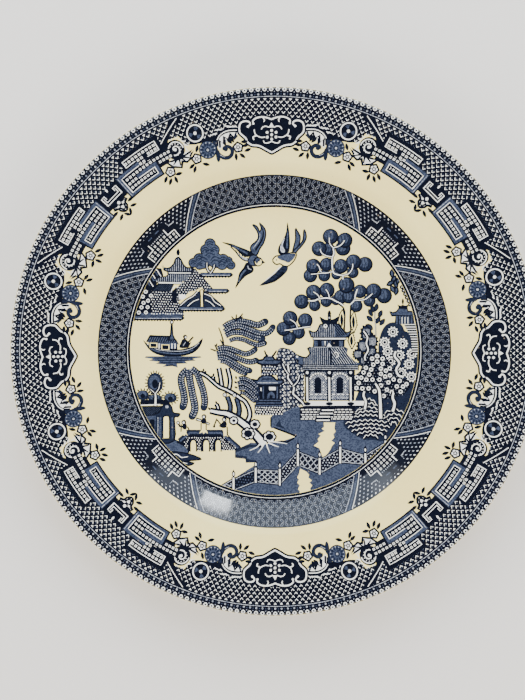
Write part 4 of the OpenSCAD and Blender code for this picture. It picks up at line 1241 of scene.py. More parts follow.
def draw_willow(art):
    art.piece = "willow"
    for line, width, end in (
            ([(-26, 12.4), (-23, 14.4), (-18.3, 15.6), (-13.1, 14.8), (-8.9, 13.5), (-6.4, 14.2),
              (-4.6, 15.2)],
             2.3, 3.1),
            ([(-25.6, 10), (-22.5, 12.2), (-17.8, 12.9), (-13.1, 11.4), (-8.5, 9.7), (-4.7, 9.1),
              (-2.2, 10.4),
              (-0.7, 12.4)], 2.3, 2.6),
            ([(-25, 8), (-21.6, 9.5), (-17.4, 9.7), (-13.1, 8.3), (-8.9, 6.7), (-6, 6.6)], 2.2, 2.8),
            ([(-23, 5.4), (-19.7, 6.5), (-15.5, 5.9), (-11.7, 4.2), (-8.5, 3.3), (-5, 4.2)], 1.6, 2.4),
            ([(-29, 1.4), (-26.2, 1.9), (-22.5, 1.3), (-18.8, -0.1), (-15, -1.4), (-11.9, -0.6), (-9.8, 0.9)],
             2.2, 2.4),
            ([(-29.6, -1.1), (-26.2, -0.6), (-22.5, -1.7), (-18.8, -3.5), (-14.5, -5.2), (-11.4, -5.4),
              (-9.3, -4.7)], 2.2, 2.5),
            ([(-29.2, -3.4), (-26.2, -3.3), (-22.5, -4.8), (-18.8, -7.1), (-15.4, -9.1),
              (-12.6, -10)], 2.1, 2.6),
            ([(-27.8, -5.2), (-24.8, -5.9), (-21.6, -8), (-18, -10.5), (-14.6, -11.7)], 1.3, 1.6),
            ([(-18.2, -14.2), (-15.5, -13.9), (-12.4, -15.2), (-9.8, -17.3), (-8.6, -19)], 1.8, 1.8),
            ([(-18.8, -16.7), (-15.9, -16.3), (-12.7, -17.9), (-9.8, -20.4), (-8.5, -22.2)], 2, 1.9),
            ([(-18.4, -19.2), (-15.5, -19), (-12.4, -21), (-9.6, -24), (-8.8, -25.4)], 2, 1.8),
            ([(-17.6, -21.3), (-15, -21.8), (-12.2, -24.2), (-10.2, -25.7)], 1.4, 1.4),
            ([(-44.6, -9.4), (-47.4, -12.4), (-47.8, -16), (-46.6, -21.4), (-46.2, -25.6),
              (-47, -28.6)], 3.1, 3.3),
            ([(-44, -9.2), (-43.4, -14.8), (-42.2, -21.4), (-41, -27), (-40.9, -30.4),
              (-42.2, -33.4)], 3.3, 3.4),
            ([(-42.6, -8.9), (-39.6, -11.6), (-38.2, -15.4), (-36.6, -20), (-35.7, -25.5),
              (-36.2, -29)], 3, 3)):
        rope(art, line, width, end)
    # Limbs and trunk.
    for line, width, end, inside in (
            ([(-29.6, -31.4), (-28.8, -29.4), (-29.8, -27)], 0.7, 0.5, BARE),
            ([(-22.8, -32.4), (-22.6, -27.8), (-24.2, -23.2)], 0.9, 0.8, MID),
            ([(-18.6, -33.4), (-17.9, -29.8), (-19.4, -24)], 1.1, 0.9, MID),
            ([(-14.4, -37), (-12.6, -33.4), (-13, -29.6), (-14.8, -26.2), (-16.6, -24.6)], 1.2, 0.8, BARE),
            ([(-26.8, -19), (-27.4, -14.4), (-28.4, -8.6)], 0.9, 0.8, BARE),
            ([(-23.4, -20.4), (-22.6, -15), (-24, -8.6)], 0.9, 0.8, BARE),
            ([(-30, -17), (-31.4, -14.6), (-31.2, -12.8)], 0.5, 0.4, BARE),
            ([(-35.6, -12.6), (-36.2, -10.4)], 0.5, 0.4, BARE),
            ([(-16.6, -24.8), (-19.6, -22.6), (-22.6, -20.9), (-25.3, -19.5), (-28.4, -18.2), (-32.2, -15),
              (-34.8, -12.8), (-38.2, -11)], 1.1, 0.6, BARE),
            ([(-33, -30.6), (-28.6, -31.5), (-24.2, -32.2), (-19.6, -34.6), (-14.4, -38.4), (-10.2, -42.2),
              (-5, -48)], 1.4, 4, BARE)):
        branch(art, line, width, end, 1.8, inside)
    for x, y in ((-25.4, -22.4), (-20.4, -22.6)):
        art.disc(DARK, (x, y), 1.25, 10)
        art.disc(BARE, (x, y), 0.75, 8)
        art.disc(DARK, (x, y), 0.3, 5)
    for x, y, turn in ((-33.4, -29.6, 130), (-38.4, -10.4, 150), (-36.4, -9.8, 80), (-31.2, -12.2, 80),
                       (-29.8, -26.4, 110), (-19.6, -13.6, 100), (-19.8, -16, 150), (-19.6, -18.6, 160)):
        art.leaf(DARK, (x, y), 2, 1.1, turn)
    # Bare twigs on top of the fronds.
    for line in ([(-20, 15.6), (-17, 18.2), (-16.2, 19.4)], [(-18.6, 17), (-16, 17.6)],
                 [(-19.6, 16.2), (-19.4, 19)], [(-20.4, 16), (-22, 18)],
                 [(-26, 3), (-26.4, 6), (-27.4, 9.4), (-28.6, 12.2)], [(-26.2, 3.4), (-27.8, 6)],
                 [(-29.2, 0.6), (-30.6, 3.4)], [(-30, 0.2), (-32.8, 1.2)], [(-30, 2.2), (-29.4, 4)]):
        art.stroke(DARK, line, 0.8, 0.4)
    for x, y, r in ((-9.9, -37.6, 1.5), (-13.4, -42.4, 2.4), (-20.8, -35.7, 1), (-2.4, -44, 2.2)):
        for tone, size in ((DARK, 1.9), (BARE, 0.95)):
            for k in range(7):
                t = 2 * math.pi * k / 7
                art.disc(tone, (x + r * 0.95 * math.cos(t), y + r * 0.8 * math.sin(t)), size * 0.9, 9)
        art.oval(DARK, (x, y), r * 0.95, r * 0.8)
    for line in ([(-6.6, -47), (-9, -49.4), (-12.6, -51)], [(-5, -47.4), (-6.6, -50), (-8.4, -52.2)],
                 [(-4, -47.6), (-3.2, -50), (-2.2, -52.4)], [(-3, -47), (0, -48.4), (2.4, -49.2)],
                 [(-2.4, -46.4), (2, -46.8), (6.6, -47.6)]):
        art.curve(BARE, line, 0.9, 0.3)


def draw_boat(art):
    art.piece = "boat"
    art.area(MID, [
        (-66, -2.6), (-38, -2.6), (-37.4, -3.2), (-42, -3.8), (-40.4, -4.8), (-46, -5.2), (-44.6, -6.2),
        (-50, -6.5), (-49.6, -8.4), (-52.4, -7.6), (-57.6, -8), (-55.6, -6.8), (-61, -6.4), (-59, -5.4),
        (-64.4, -4.8), (-62.4, -3.9), (-66.6, -3.3)])
    for left, right, y in ((-62, -41, -3.5), (-60, -44, -4.7), (-58, -47, -5.9), (-55.6, -50.6, -7.2)):
        art.stroke(DEEP, [(left, y), (right, y)], 0.45)
    art.blob(DARK, [(-67.4, 5.8), (-64.5, 3.2), (-60, 1.6), (-54, 0.9), (-48, 1), (-43, 2.2), (-39.6, 4),
                    (-36.8, 6.7), (-37.6, 3.4), (-40.6, -0.2), (-46, -2.3), (-54, -2.8), (-60.4, -1.6),
                    (-64.6, 1.2)])
    art.curve(MID, [(-63.6, 1.4), (-59, -0.3), (-52, -1.2), (-46, -0.9), (-41.6, 0.8)], 0.6)
    art.curve(PALE, [(-65.4, 3.6), (-60, 0.9), (-53, 0.1), (-47, 0.2), (-42, 1.6), (-38.6, 4.4)], 0.35)
    outlined(art, MID, [(-64.4, 2.2), (-64.4, 4.8), (-50, 4.8), (-50, 1.2), (-56, 0.9)], 0.5)
    cabin = [(-65.6, 4.8), (-64, 7.8), (-53.4, 7.6), (-50.6, 5.8), (-48.8, 3.4), (-54, 4.6), (-64, 4.4)]
    roof = art.area(MID, cabin)
    ribs(art, DARK, roof, (-66, 3.4, -49, 8), 1.2, 0.36, 0.5)
    art.loop(DARK, cabin, 0.6)
    for x0, y0, x1, y1 in ((-63.6, 2.2, -60.6, 4), (-57.6, 1, -54.4, 3.2)):
        art.area(BARE, [(x0 - 0.5, y0 - 0.3), (x0 - 0.5, y1 + 0.4), (x1 + 0.5, y1 + 0.3),
                        (x1 + 0.5, y0 - 0.3)])
        art.area(DARK, [(x0, y0), (x0, y1), (x1, y1 - 0.1), (x1, y0)])
    for x in (-59.2, -52.6, -51):
        art.stroke(BARE, [(x, 1.4), (x, 4)], 0.7)
    art.area(DARK, [(-54.9, 5.6), (-53.7, 8.4), (-53.2, 14.2), (-52.2, 14.2), (-51.8, 8.4), (-50.4, 5.6)])
    art.area(MID, [(-53.8, 6), (-52.9, 8.4), (-52.7, 11), (-52.4, 8.4), (-51.6, 6)])
    art.disc(DARK, (-52.7, 15), 1.1, 9)
    art.disc(BARE, (-52.7, 15), 0.55, 7)
    art.blob(DARK, [(-48.6, 1.8), (-48, 4.6), (-46.8, 6.4), (-45.2, 6), (-43.6, 4.4), (-42.6, 5),
                    (-43.4, 3.2), (-44.4, 1.8)])
    art.stroke(DARK, [(-44.6, 4.2), (-41.6, 7.4)], 0.8, 0.6)
    art.stroke(PALE, [(-46.8, 2.8), (-45.6, 4.8)], 0.5, 0.4)
    art.disc(DARK, (-45.8, 7.4), 1.15, 9)
    art.disc(BARE, (-45.5, 7.2), 0.5, 8)


def draw_gatehouse(art):
    art.piece = "gatehouse"
    rounded(art, MID, [(-60, -45.4), (-52, -45.4), (-48.6, -47), (-45, -50), (-44, -52), (-47, -53.4),
                       (-53, -54), (-58, -50)], 0.4)
    rounded(art, DEEP, [(-54, -52), (-48, -52), (-42, -53.4), (-37.6, -55.5), (-43, -56.2), (-50, -56.6)],
            0.5)
    art.curve(BARE, [(-53.4, -53.4), (-50, -53), (-47.6, -54.6), (-44.4, -54.2)], 0.7, 0.4)
    rounded(art, DEEP, [(-50.4, -56.4), (-46, -56.6), (-41.2, -57.6), (-45, -58.8)], 0.5)
    art.curve(BARE, [(-49, -57), (-46.6, -57.2), (-44.6, -57.8)], 0.5, 0.3)
    # Trees behind.
    for x, y, wide, tall in ((-67.6, -22.6, 3.4, 2.8), (-53.4, -24, 3.6, 2.8), (-61.3, -16.4, 4.4, 5.6),
                             (-61.3, -24, 4, 2)):
        count = round(2.2 * (wide + tall))
        for k in range(count):
            t = 2 * math.pi * k / count
            art.leaf(DARK, (x + (wide + 0.2) * math.cos(t), y + (tall + 0.2) * math.sin(t)), 1.7, 0.7,
                     math.degrees(t))
        art.oval(DEEP, (x, y), wide - 0.2, tall - 0.2)
        art.oval(MID, (x - 0.3, y + 0.4), wide * 0.66, tall * 0.66)
        art.oval(DARK, (x, y - 0.4), wide * 0.36, tall * 0.42)
    art.area(DARK, [(-70, -27.6), (-53, -27.6), (-55, -25), (-68, -25)])
    branch(art, [(-61.1, -28), (-61, -24), (-61.2, -21.4)], 1.2, 0.7)
    branch(art, [(-61.2, -21.8), (-63.6, -19.6)], 0.5, 0.3)
    branch(art, [(-61.2, -21.8), (-59.4, -19.2), (-58.8, -16)], 0.5, 0.3)
    # House, roof and gate tower.
    art.stroke(BARE, [(-69.4, -27.7), (-58.6, -27.4)], 0.5)
    house = [(-69.6, -28.4), (-57.6, -28.4), (-59.4, -32.6), (-67, -33.2)]
    roof = art.area(MID, house)
    ribs(art, DARK, roof, (-74, -33.4, -58, -28.2), 0.95, 0.38, 0.9)
    art.loop(DARK, house, 0.45)
    outlined(art, MID, [(-67, -33.4), (-60, -33), (-60, -43), (-62, -42), (-65, -37.6)], 0.4)
    art.area(DARK, [(-63.9, -35), (-61.5, -35), (-61.5, -40), (-62.8, -39.6), (-63.9, -38)])
    tower = smooth([(-60.6, -46), (-60.8, -34), (-62, -32.6), (-59.4, -31.6), (-57.6, -28.4), (-55, -27),
                    (-52.8, -28.6), (-51.8, -31.6), (-48.6, -32.2), (-49.6, -33.8), (-51.4, -34.4),
                    (-51.4, -46)], True, 3)
    outlined(art, DEEP, tower, 0.5)
    art.stroke(PALE, [(-59.8, -34), (-59.8, -45)], 0.4)
    art.stroke(MID, [(-58.6, -34), (-58.6, -45)], 0.9)
    art.stroke(MID, [(-52.4, -34), (-52.4, -45)], 0.6)
    art.disc(PALE, (-55.2, -28.6), 0.8, 8)
    opening = smooth([(-57.2, -45), (-57.2, -35), (-56.4, -33.4), (-54.6, -33.4), (-53.9, -35),
                      (-53.9, -45)], False, 3)
    outlined(art, BARE, opening, 0.4)


def draw_bridge(art):
    art.piece = "bridge"
    deck = [(-50.2, -47), (-48.2, -45), (-44.4, -41.2), (-42.9, -40.4), (-26.8, -40.4), (-24.6, -42),
            (-20.8, -45.8), (-16.8, -49.6), (-20, -51), (-43.8, -51), (-46, -49)]
    span = art.area(DARK, deck)
    dots(art, BARE, span, (-46, -50.8, -20, -44.4), 1.2, 0.3)
    art.stroke(DEEP, [(-49, -46), (-43.6, -41.6), (-27.2, -41.6), (-18, -49.6)], 2)
    art.stroke(MID, [(-48.4, -46.4), (-43.2, -42), (-27.4, -42), (-18.6, -49.8)], 0.7)
    art.stroke(DARK, [(-47.4, -47.2), (-43, -43.3), (-28, -43.3), (-20.8, -49.6)], 0.5)
    for left, right in ((-42.9, -40.3), (-36.3, -33.6), (-30, -27.6)):
        middle = (left + right) / 2
        arch = [(left, -51.6), (left, -47.6), (middle - 0.6, -46), (middle + 0.6, -46), (right, -47.6),
                (right, -51.6)]
        art.stroke(DARK, smooth([(x - 0.4, y) for x, y in arch]), 2)
        art.area(BARE, smooth(arch))
    # Three small walking figures in long robes.
    art.area(BARE, [(-47.4, -37.6), (-45, -38), (-43.8, -40.2), (-45.6, -41), (-44.4, -43.6), (-45.6, -42.6),
                    (-46.2, -43.6), (-48, -41.8)])
    art.stroke(DARK, [(-47.8, -37.6), (-47.9, -41.4)], 0.5)
    art.stroke(DARK, [(-44.6, -38.8), (-43.8, -40.4), (-45.2, -41)], 0.5)
    art.blob(DARK, [(-47.2, -39.6), (-47, -37.2), (-45.8, -36.8), (-44.9, -38.4), (-45.4, -40.2)])
    art.stroke(DARK, [(-47, -38.8), (-48.6, -38.6), (-49.4, -36.6)], 0.7)
    art.disc(DARK, (-49.4, -36.8), 1, 8)
    art.disc(BARE, (-49.4, -36.8), 0.5, 8)
    art.area(BARE, [(-37.4, -37), (-35.2, -37), (-35, -40.4), (-34, -42.4), (-35.6, -41.6), (-36.2, -42.6),
                    (-37, -41.6), (-38.6, -42.4), (-37.4, -40.4)])
    for side in (-1.3, 1.3):
        art.stroke(DARK, [(-36.3 + side, -37), (-36.3 + side, -40.4)], 0.4)
    art.stroke(DARK, [(-40.2, -34.8), (-36.2, -36.2), (-33.2, -37.6)], 1.5, 1.1)
    art.stroke(BARE, [(-39.8, -35), (-37.8, -35.7)], 0.5)
    art.stroke(BARE, [(-34.8, -36.9), (-33.6, -37.4)], 0.4)
    art.blob(DARK, [(-37.4, -37), (-37, -34.6), (-36, -34), (-35, -35), (-35.2, -37.2)])
    art.area(BARE, [(-26.4, -38.4), (-24.6, -38.8), (-24.4, -41.4), (-23.6, -44), (-24.8, -43.4),
                    (-26, -43.8), (-26.2, -41.4)])
    art.stroke(DARK, [(-24.2, -38.8), (-24, -43.4)], 0.5)
    art.blob(DARK, [(-28.4, -38.4), (-27.4, -37.4), (-25.6, -35.6), (-24.4, -37), (-24.8, -39.2),
                    (-26.8, -39.4)])
    art.stroke(DARK, [(-27.4, -37.8), (-29.6, -35), (-30.9, -38.4)], 0.6)
    art.disc(DARK, (-30.9, -38.7), 0.65, 7)
    for x, y in ((-46.5, -36.5), (-36.1, -33.6), (-25.7, -35)):
        art.disc(DARK, (x, y), 1.25, 10)
        art.disc(BARE, (x - 0.1, y - 0.2), 0.62, 8)


def draw_shore(art):
    art.piece = "shore"
    land = [(-20.2, -50), (-17, -49.4), (-12, -47), (-4, -47.6), (0, -46.6), (5, -46), (11.5, -43.8),
            (5, -41.4), (0, -39.6), (-1.6, -39.6), (-1.8, -34), (2, -30), (10, -28), (20, -30), (44, -28),
            (56, -26), (76, -24), (70, -50), (40, -74), (0, -80), (-26, -73), (-27, -69.4), (-9.6, -58.4),
            (-10.5, -57), (-14, -57), (-14.5, -55.5), (-20.2, -54.8)]
    art.area(MID, land)
    art.stroke(DARK, [(11.6, -43.8), (5, -41.2), (0, -39.4)], 0.9, 0.7)
    art.stroke(DARK, [(-1.7, -38.8), (-1.7, -34)], 0.6)
    art.stroke(DEEP, [(-20, -51.2), (-13, -48.8), (-8, -48.6)], 1.6, 1)
    art.stroke(DEEP, [(-20, -54), (-14.6, -54.6), (-14.2, -56.4), (-10, -56.6)], 1.1)
    art.stroke(DARK, [(0.4, -46.9), (4, -46.3), (6.6, -46.7), (10.4, -44.7)], 0.7)
    art.area(DEEP, [(3, -34.8), (0.6, -38.4), (4, -39.4), (9, -41), (14, -42.4), (14, -44), (10, -42.2),
                    (6, -40), (3.6, -38)])
    jag = [(25.5, -36.6), (25.7, -39), (24.4, -39.8), (26, -41), (22.8, -42.6), (24, -43.4), (22.4, -45.2),
           (23, -46.4), (20.4, -48.6), (23.4, -50), (24, -52), (25, -54.8), (27.2, -53), (29, -50.5),
           (29.8, -48.6), (31.2, -47.2), (29.4, -46), (31, -44.4), (30.4, -42.6), (31.6, -41.4), (31, -39.6),
           (31.4, -36.6)]
    art.area(BARE, jag)
    art.area(BARE, [(13.4, -60.3), (16.6, -62), (18, -63.6), (17.6, -65), (19.4, -66.4), (18.2, -67.6),
                    (19.6, -69), (18.4, -70.6), (19, -72), (18, -75), (12.6, -75), (13.2, -72), (12.2, -71),
                    (13.2, -69), (11.8, -67.6), (12.8, -66), (11.8, -65), (12.8, -63)])


def draw_fence(art):
    art.piece = "fence"
    posts = ((-20.9, -65, -72), (-9.5, -60, -67.6), (2.9, -60.6, -69), (12.2, -50.6, -59),
             (23.4, -55, -63.4), (34, -49.2, -57.6), (46.9, -52.6, -58.6), (57.2, -46, -50))
    rails = [((-28.5, -70), (-20.9, -65.6), (-20.9, -71.4), (-28.5, -72))]
    for (x0, t0, b0), (x1, t1, b1) in zip(posts, posts[1:]):
        rails.append(((x0, t0 - 0.9), (x1, t1 - 0.9), (x1, b1 + 0.4), (x0, b0 + 0.4)))
    for n, rail in enumerate(rails):
        panel = art.area(DARK, rail)
        xs, ys = [p[0] for p in rail], [p[1] for p in rail]
        box = (min(xs), min(ys), max(xs), max(ys))
        lean = (rail[1][1] - rail[0][1]) / (rail[1][0] - rail[0][0])
        if n % 2 == 1:
            dots(art, PALE if n != 1 else MID, panel, box, 1.6, 0.42)
        else:
            art.window = panel
            for k in range(-5, 7):
                x = box[0] + k * 3
                art.stroke(PALE, [(x, box[1]), (x + 9, box[3] + 4 * lean)], 0.5)
                art.stroke(PALE, [(x + 9, box[1]), (x, box[3] - 4 * lean)], 0.5)
            art.window = None
        art.stroke(DARK, [rail[0], rail[1]], 0.9)
        art.stroke(PALE, [(rail[0][0], rail[0][1] - 0.2), (rail[1][0], rail[1][1] - 0.2)], 0.4)
        art.stroke(DARK, [rail[3], rail[2]], 0.9)
        art.stroke(PALE, [(rail[3][0], rail[3][1] + 0.2), (rail[2][0], rail[2][1] + 0.2)], 0.4)
    for x, top, bottom in posts:
        art.stroke(DARK, [(x, top + 0.3), (x, bottom - 0.3)], 1.9)
        art.stroke(BARE, [(x, top), (x, bottom)], 1.1)
        art.oval(DARK, (x, top + 1.9), 0.9, 1.7, 0, 10)
        art.oval(BARE, (x, top + 1.8), 0.42, 0.9, 0, 8)
        art.stroke(DARK, [(x, top + 3), (x, top + 4)], 0.5, 0.2)


def draw_landscape(art):
    art.piece = None
    art.field = art.add(BARE, [around((0, 0), FIELD_R, math.radians(2.5 * k)) for k in range(144)])
    draw_shore(art)
    draw_far_island(art)
    draw_blossom_trees(art)
    draw_doves(art)
    draw_gatehouse(art)
    draw_fence(art)
    draw_tea_house(art)
    draw_willow(art)
    draw_fruit_tree(art)
    draw_pavilion(art)
    draw_boat(art)
    draw_bridge(art)


# ---- Materials ----

def new_group(name, inputs, outputs):
    """An empty shader node group with its sockets; returns it with its two ends."""
    group = bpy.data.node_groups.new(name, "ShaderNodeTree")
    for label, kind, value in inputs:
        socket = group.interface.new_socket(name=label, in_out="INPUT", socket_type=kind)
        socket.default_value = value
    for label, kind in outputs:
        group.interface.new_socket(name=label, in_out="OUTPUT", socket_type=kind)
    return group, group.nodes.new("NodeGroupInput"), group.nodes.new("NodeGroupOutput")


def noise(group, coords, scale, detail=2.0, rough=0.5):
    node = group.nodes.new("ShaderNodeTexNoise")
    node.inputs["Scale"].default_value = scale
    node.inputs["Detail"].default_value = detail
    node.inputs["Roughness"].default_value = rough
    group.links.new(coords, node.inputs["Vector"])
    return node.outputs["Fac"]


def ramp(group, value, low, high, out_low=0.0, out_high=1.0):
    node = group.nodes.new("ShaderNodeMapRange")
    for key, number in (("From Min", low), ("From Max", high), ("To Min", out_low), ("To Max", out_high)):
        node.inputs[key].default_value = number
    group.links.new(value, node.inputs["Value"])
    return node.outputs["Result"]


def blend(group, factor, first, second, mode="MIX"):
    """Mix of two colours; each end may be a socket or a fixed colour."""
    node = group.nodes.new("ShaderNodeMix")
    node.data_type = "RGBA"
    node.blend_type = mode
    for socket, value in ((node.inputs["Factor"], factor), (node.inputs["A"], first),
                          (node.inputs["B"], second)):
        if isinstance(value, bpy.types.NodeSocket):
            group.links.new(value, socket)
        else:
            socket.default_value = value
    return node.outputs["Result"]


def object_coords(group):
    return group.nodes.new("ShaderNodeTexCoord").outputs["Object"]


def glaze_group():
    """The clear coat: its slow ripple, pooling tint and fine pits."""
    name = "clear_coat_finish"
    if name in bpy.data.node_groups:
        return bpy.data.node_groups[name]
    group, gin, gout = new_group(
        name,
        [("Colour", "NodeSocketColor", (1, 1, 1, 1)), ("Tint", "NodeSocketColor", (0.9, 0.8, 0.6, 1)),
         ("Tint Amount", "NodeSocketFloat", 0.1), ("Roughness", "NodeSocketFloat", 0.25)],
        [("Colour", "NodeSocketColor"), ("Roughness", "NodeSocketFloat"), ("Height", "NodeSocketFloat")])
    coords = object_coords(group)
    slow = noise(group, coords, 22, 2)
    fine = noise(group, coords, 420, 3)
    patch = ramp(group, slow, 0.35, 0.68)
    amount = group.nodes.new("ShaderNodeMath")
    amount.operation = "MULTIPLY"
    group.links.new(patch, amount.inputs[0])
    group.links.new(gin.outputs["Tint Amount"], amount.inputs[1])
    tinted = blend(group, amount.outputs[0], gin.outputs["Colour"], gin.outputs["Tint"], "MULTIPLY")
    pits = group.nodes.new("ShaderNodeTexVoronoi")
    pits.inputs["Scale"].default_value = 130
    group.links.new(coords, pits.inputs["Vector"])
    speck = ramp(group, pits.outputs["Distance"], 0.035, 0.06, 0.35, 0.0)
    specked = blend(group, speck, tinted, (0.45, 0.36, 0.26, 1))
    group.links.new(specked, gout.inputs["Colour"])
    rough = group.nodes.new("ShaderNodeMath")
    rough.operation = "ADD"
    group.links.new(gin.outputs["Roughness"], rough.inputs[0])
    group.links.new(ramp(group, fine, 0.3, 0.7, -0.03, 0.05), rough.inputs[1])
    group.links.new(rough.outputs[0], gout.inputs["Roughness"])
    height = group.nodes.new("ShaderNodeMath")
    height.operation = "MULTIPLY_ADD"
    group.links.new(fine, height.inputs[0])
    height.inputs[1].default_value = 0.03
    group.links.new(noise(group, coords, 45, 1), height.inputs[2])
    group.links.new(height.outputs[0], gout.inputs["Height"])
    return group


def ink_group():
    """Engraved ink: stippled dots and uneven density that let the ground through."""
    name = "stippled_ink"
    if name in bpy.data.node_groups:
        return bpy.data.node_groups[name]
    group, gin, gout = new_group(
        name,
        [("Ink", "NodeSocketColor", (0, 0, 0, 1)), ("Thin Ink", "NodeSocketColor", (1, 1, 1, 1)),
         ("Stipple", "NodeSocketFloat", 0.5), ("Stipple Scale", "NodeSocketFloat", 1400)],
        [("Colour", "NodeSocketColor")])
    coords = object_coords(group)
    dots = group.nodes.new("ShaderNodeTexVoronoi")
    group.links.new(coords, dots.inputs["Vector"])
    group.links.new(gin.outputs["Stipple Scale"], dots.inputs["Scale"])
    gap = ramp(group, dots.outputs["Distance"], 0.36, 0.6)
    patchy = ramp(group, noise(group, coords, 260, 3), 0.3, 0.72)
    lift = group.nodes.new("ShaderNodeMath")
    lift.operation = "MULTIPLY_ADD"
    group.links.new(patchy, lift.inputs[0])
    lift.inputs[1].default_value = 0.5
    group.links.new(gap, lift.inputs[2])
    share = group.nodes.new("ShaderNodeMath")
    share.operation = "MULTIPLY"
    share.use_clamp = True
    group.links.new(lift.outputs[0], share.inputs[0])
    group.links.new(gin.outputs["Stipple"], share.inputs[1])
    group.links.new(blend(group, share.outputs[0], gin.outputs["Ink"], gin.outputs["Thin Ink"]),
                    gout.inputs["Colour"])
    return group


def principled(name):
    material = bpy.data.materials.new(name)
    material.use_nodes = True
    return material, material.node_tree, material.node_tree.nodes["Principled BSDF"]


def glazed(name, colour, tint_amount, ink_values=None):
    """A surface under the clear coat: bare ware, or ware with ink on it."""
    if name in bpy.data.materials:
        return bpy.data.materials[name]
    material, tree, shader = principled(name)
    coat = tree.nodes.new("ShaderNodeGroup")
    coat.node_tree = glaze_group()
    coat.inputs["Tint Amount"].default_value = tint_amount
    coat.inputs["Colour"].default_value = colour
    if ink_values:
        print_node = tree.nodes.new("ShaderNodeGroup")
        print_node.node_tree = ink_group()
        for key, value in ink_values.items():
            print_node.inputs[key].default_value = value
        print_node.inputs["Ink"].default_value = colour
        tree.links.new(print_node.outputs["Colour"], coat.inputs["Colour"])
    tree.links.new(coat.outputs["Colour"], shader.inputs["Base Color"])
    tree.links.new(coat.outputs["Roughness"], shader.inputs["Roughness"])
    bump = tree.nodes.new("ShaderNodeBump")
    bump.inputs["Strength"].default_value = 0.25
    bump.inputs["Distance"].default_value = 0.0004
    tree.links.new(coat.outputs["Height"], bump.inputs["Height"])
    tree.links.new(bump.outputs["Normal"], shader.inputs["Normal"])
    shader.inputs["Specular IOR Level"].default_value = 0.1
    shader.inputs["Coat Weight"].default_value = 0.75
    shader.inputs["Coat Roughness"].default_value = 0.06
    shader.inputs["Coat IOR"].default_value = 1.5
    return material


def ink(tone):
    form = bpy.context.scene.plate_print
    name, colour, thin, stipple, scale = (
        ("ink_dark", form.dark_ink, form.deep_ink, 0.3, 1500),
        ("ink_deep", form.deep_ink, form.mid_ink, 0.5, 1300),
        ("ink_mid", form.mid_ink, form.pale_ink, 0.4, 1300),
        ("ink_pale", form.pale_ink, form.stained_ware, 0.45, 1500),
        ("stained_ware", form.stained_ware, form.bare_ware, 0.15, 1500))[tone]
    return glazed(name, (*colour, 1), 0.0, {
        "Thin Ink": (*thin, 1), "Stipple": stipple, "Stipple Scale": scale})


def bare_clay():
    """Unglazed biscuit at the foot: matt, sandy, rubbed grey where it stands."""
    material, tree, shader = principled("bare_clay")
    coords = object_coords(tree)
    grain = noise(tree, coords, 900, 4, 0.7)
    wear = ramp(tree, noise(tree, coords, 60, 3), 0.45, 0.65)
    clay = blend(tree, grain, (0.52, 0.42, 0.29, 1), (0.72, 0.62, 0.47, 1))
    tree.links.new(blend(tree, wear, clay, (0.4, 0.36, 0.31, 1)), shader.inputs["Base Color"])
    tree.links.new(ramp(tree, grain, 0.3, 0.7, 0.75, 0.95), shader.inputs["Roughness"])
    bump = tree.nodes.new("ShaderNodeBump")
    bump.inputs["Strength"].default_value = 0.5
    bump.inputs["Distance"].default_value = 0.0002
    tree.links.new(grain, bump.inputs["Height"])
    tree.links.new(bump.outputs["Normal"], shader.inputs["Normal"])
    return material


# ---- Pieces ----

def lathe(name, line, segments):
    """A closed solid of revolution from a closed section line (radius, height) in mm."""
    verts, faces = [], []
    rings = []
    for r, z in line:
        if r < 1e-6:
            rings.append([len(verts)] * segments)
            verts.append((0, 0, z * MM))
        else:
            rings.append(list(range(len(verts), len(verts) + segments)))
            for k in range(segments):
                t = 2 * math.pi * k / segments
                verts.append((r * math.cos(t) * MM, r * math.sin(t) * MM, z * MM))
    for a, b in zip(rings, rings[1:] + rings[:1]):
        for k in range(segments):
            n = (k + 1) % segments
            face = [a[k], a[n], b[n], b[k]]
            face = [v for i, v in enumerate(face) if v != face[i - 1]]
            if len(set(face)) > 2:
                faces.append(face)
    mesh = bpy.data.meshes.new(name)
    mesh.from_pydata(verts, [], faces)
    mesh.validate()
    mesh.polygons.foreach_set("use_smooth", [True] * len(mesh.polygons))
    piece = bpy.data.objects.new(name, mesh)
    bpy.context.scene.collection.objects.link(piece)
    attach(piece, BODY)
    return piece


def drift(plan):
    """The border was laid by hand: it runs slightly ahead on the right, behind on the left."""
    form = bpy.context.scene.plate_print
    angle = np.arctan2(plan[:, 0], plan[:, 1])
    slip = form.border_turn + form.border_slip * np.cos(angle - math.radians(110))
    radius = np.hypot(plan[:, 0], plan[:, 1])
    return np.column_stack([radius * np.sin(angle + slip), radius * np.cos(angle + slip)])


def band_art(draw, inner, outer, section):
    art = Artwork(polar=True)
    within = band(art, BARE, inner, outer)
    draw(art)
    for radius in section.creases():
        if inner < radius < outer:
            art.bend(radius, -1, EIGHTH + 1)
    return all_round(art.patches(within))


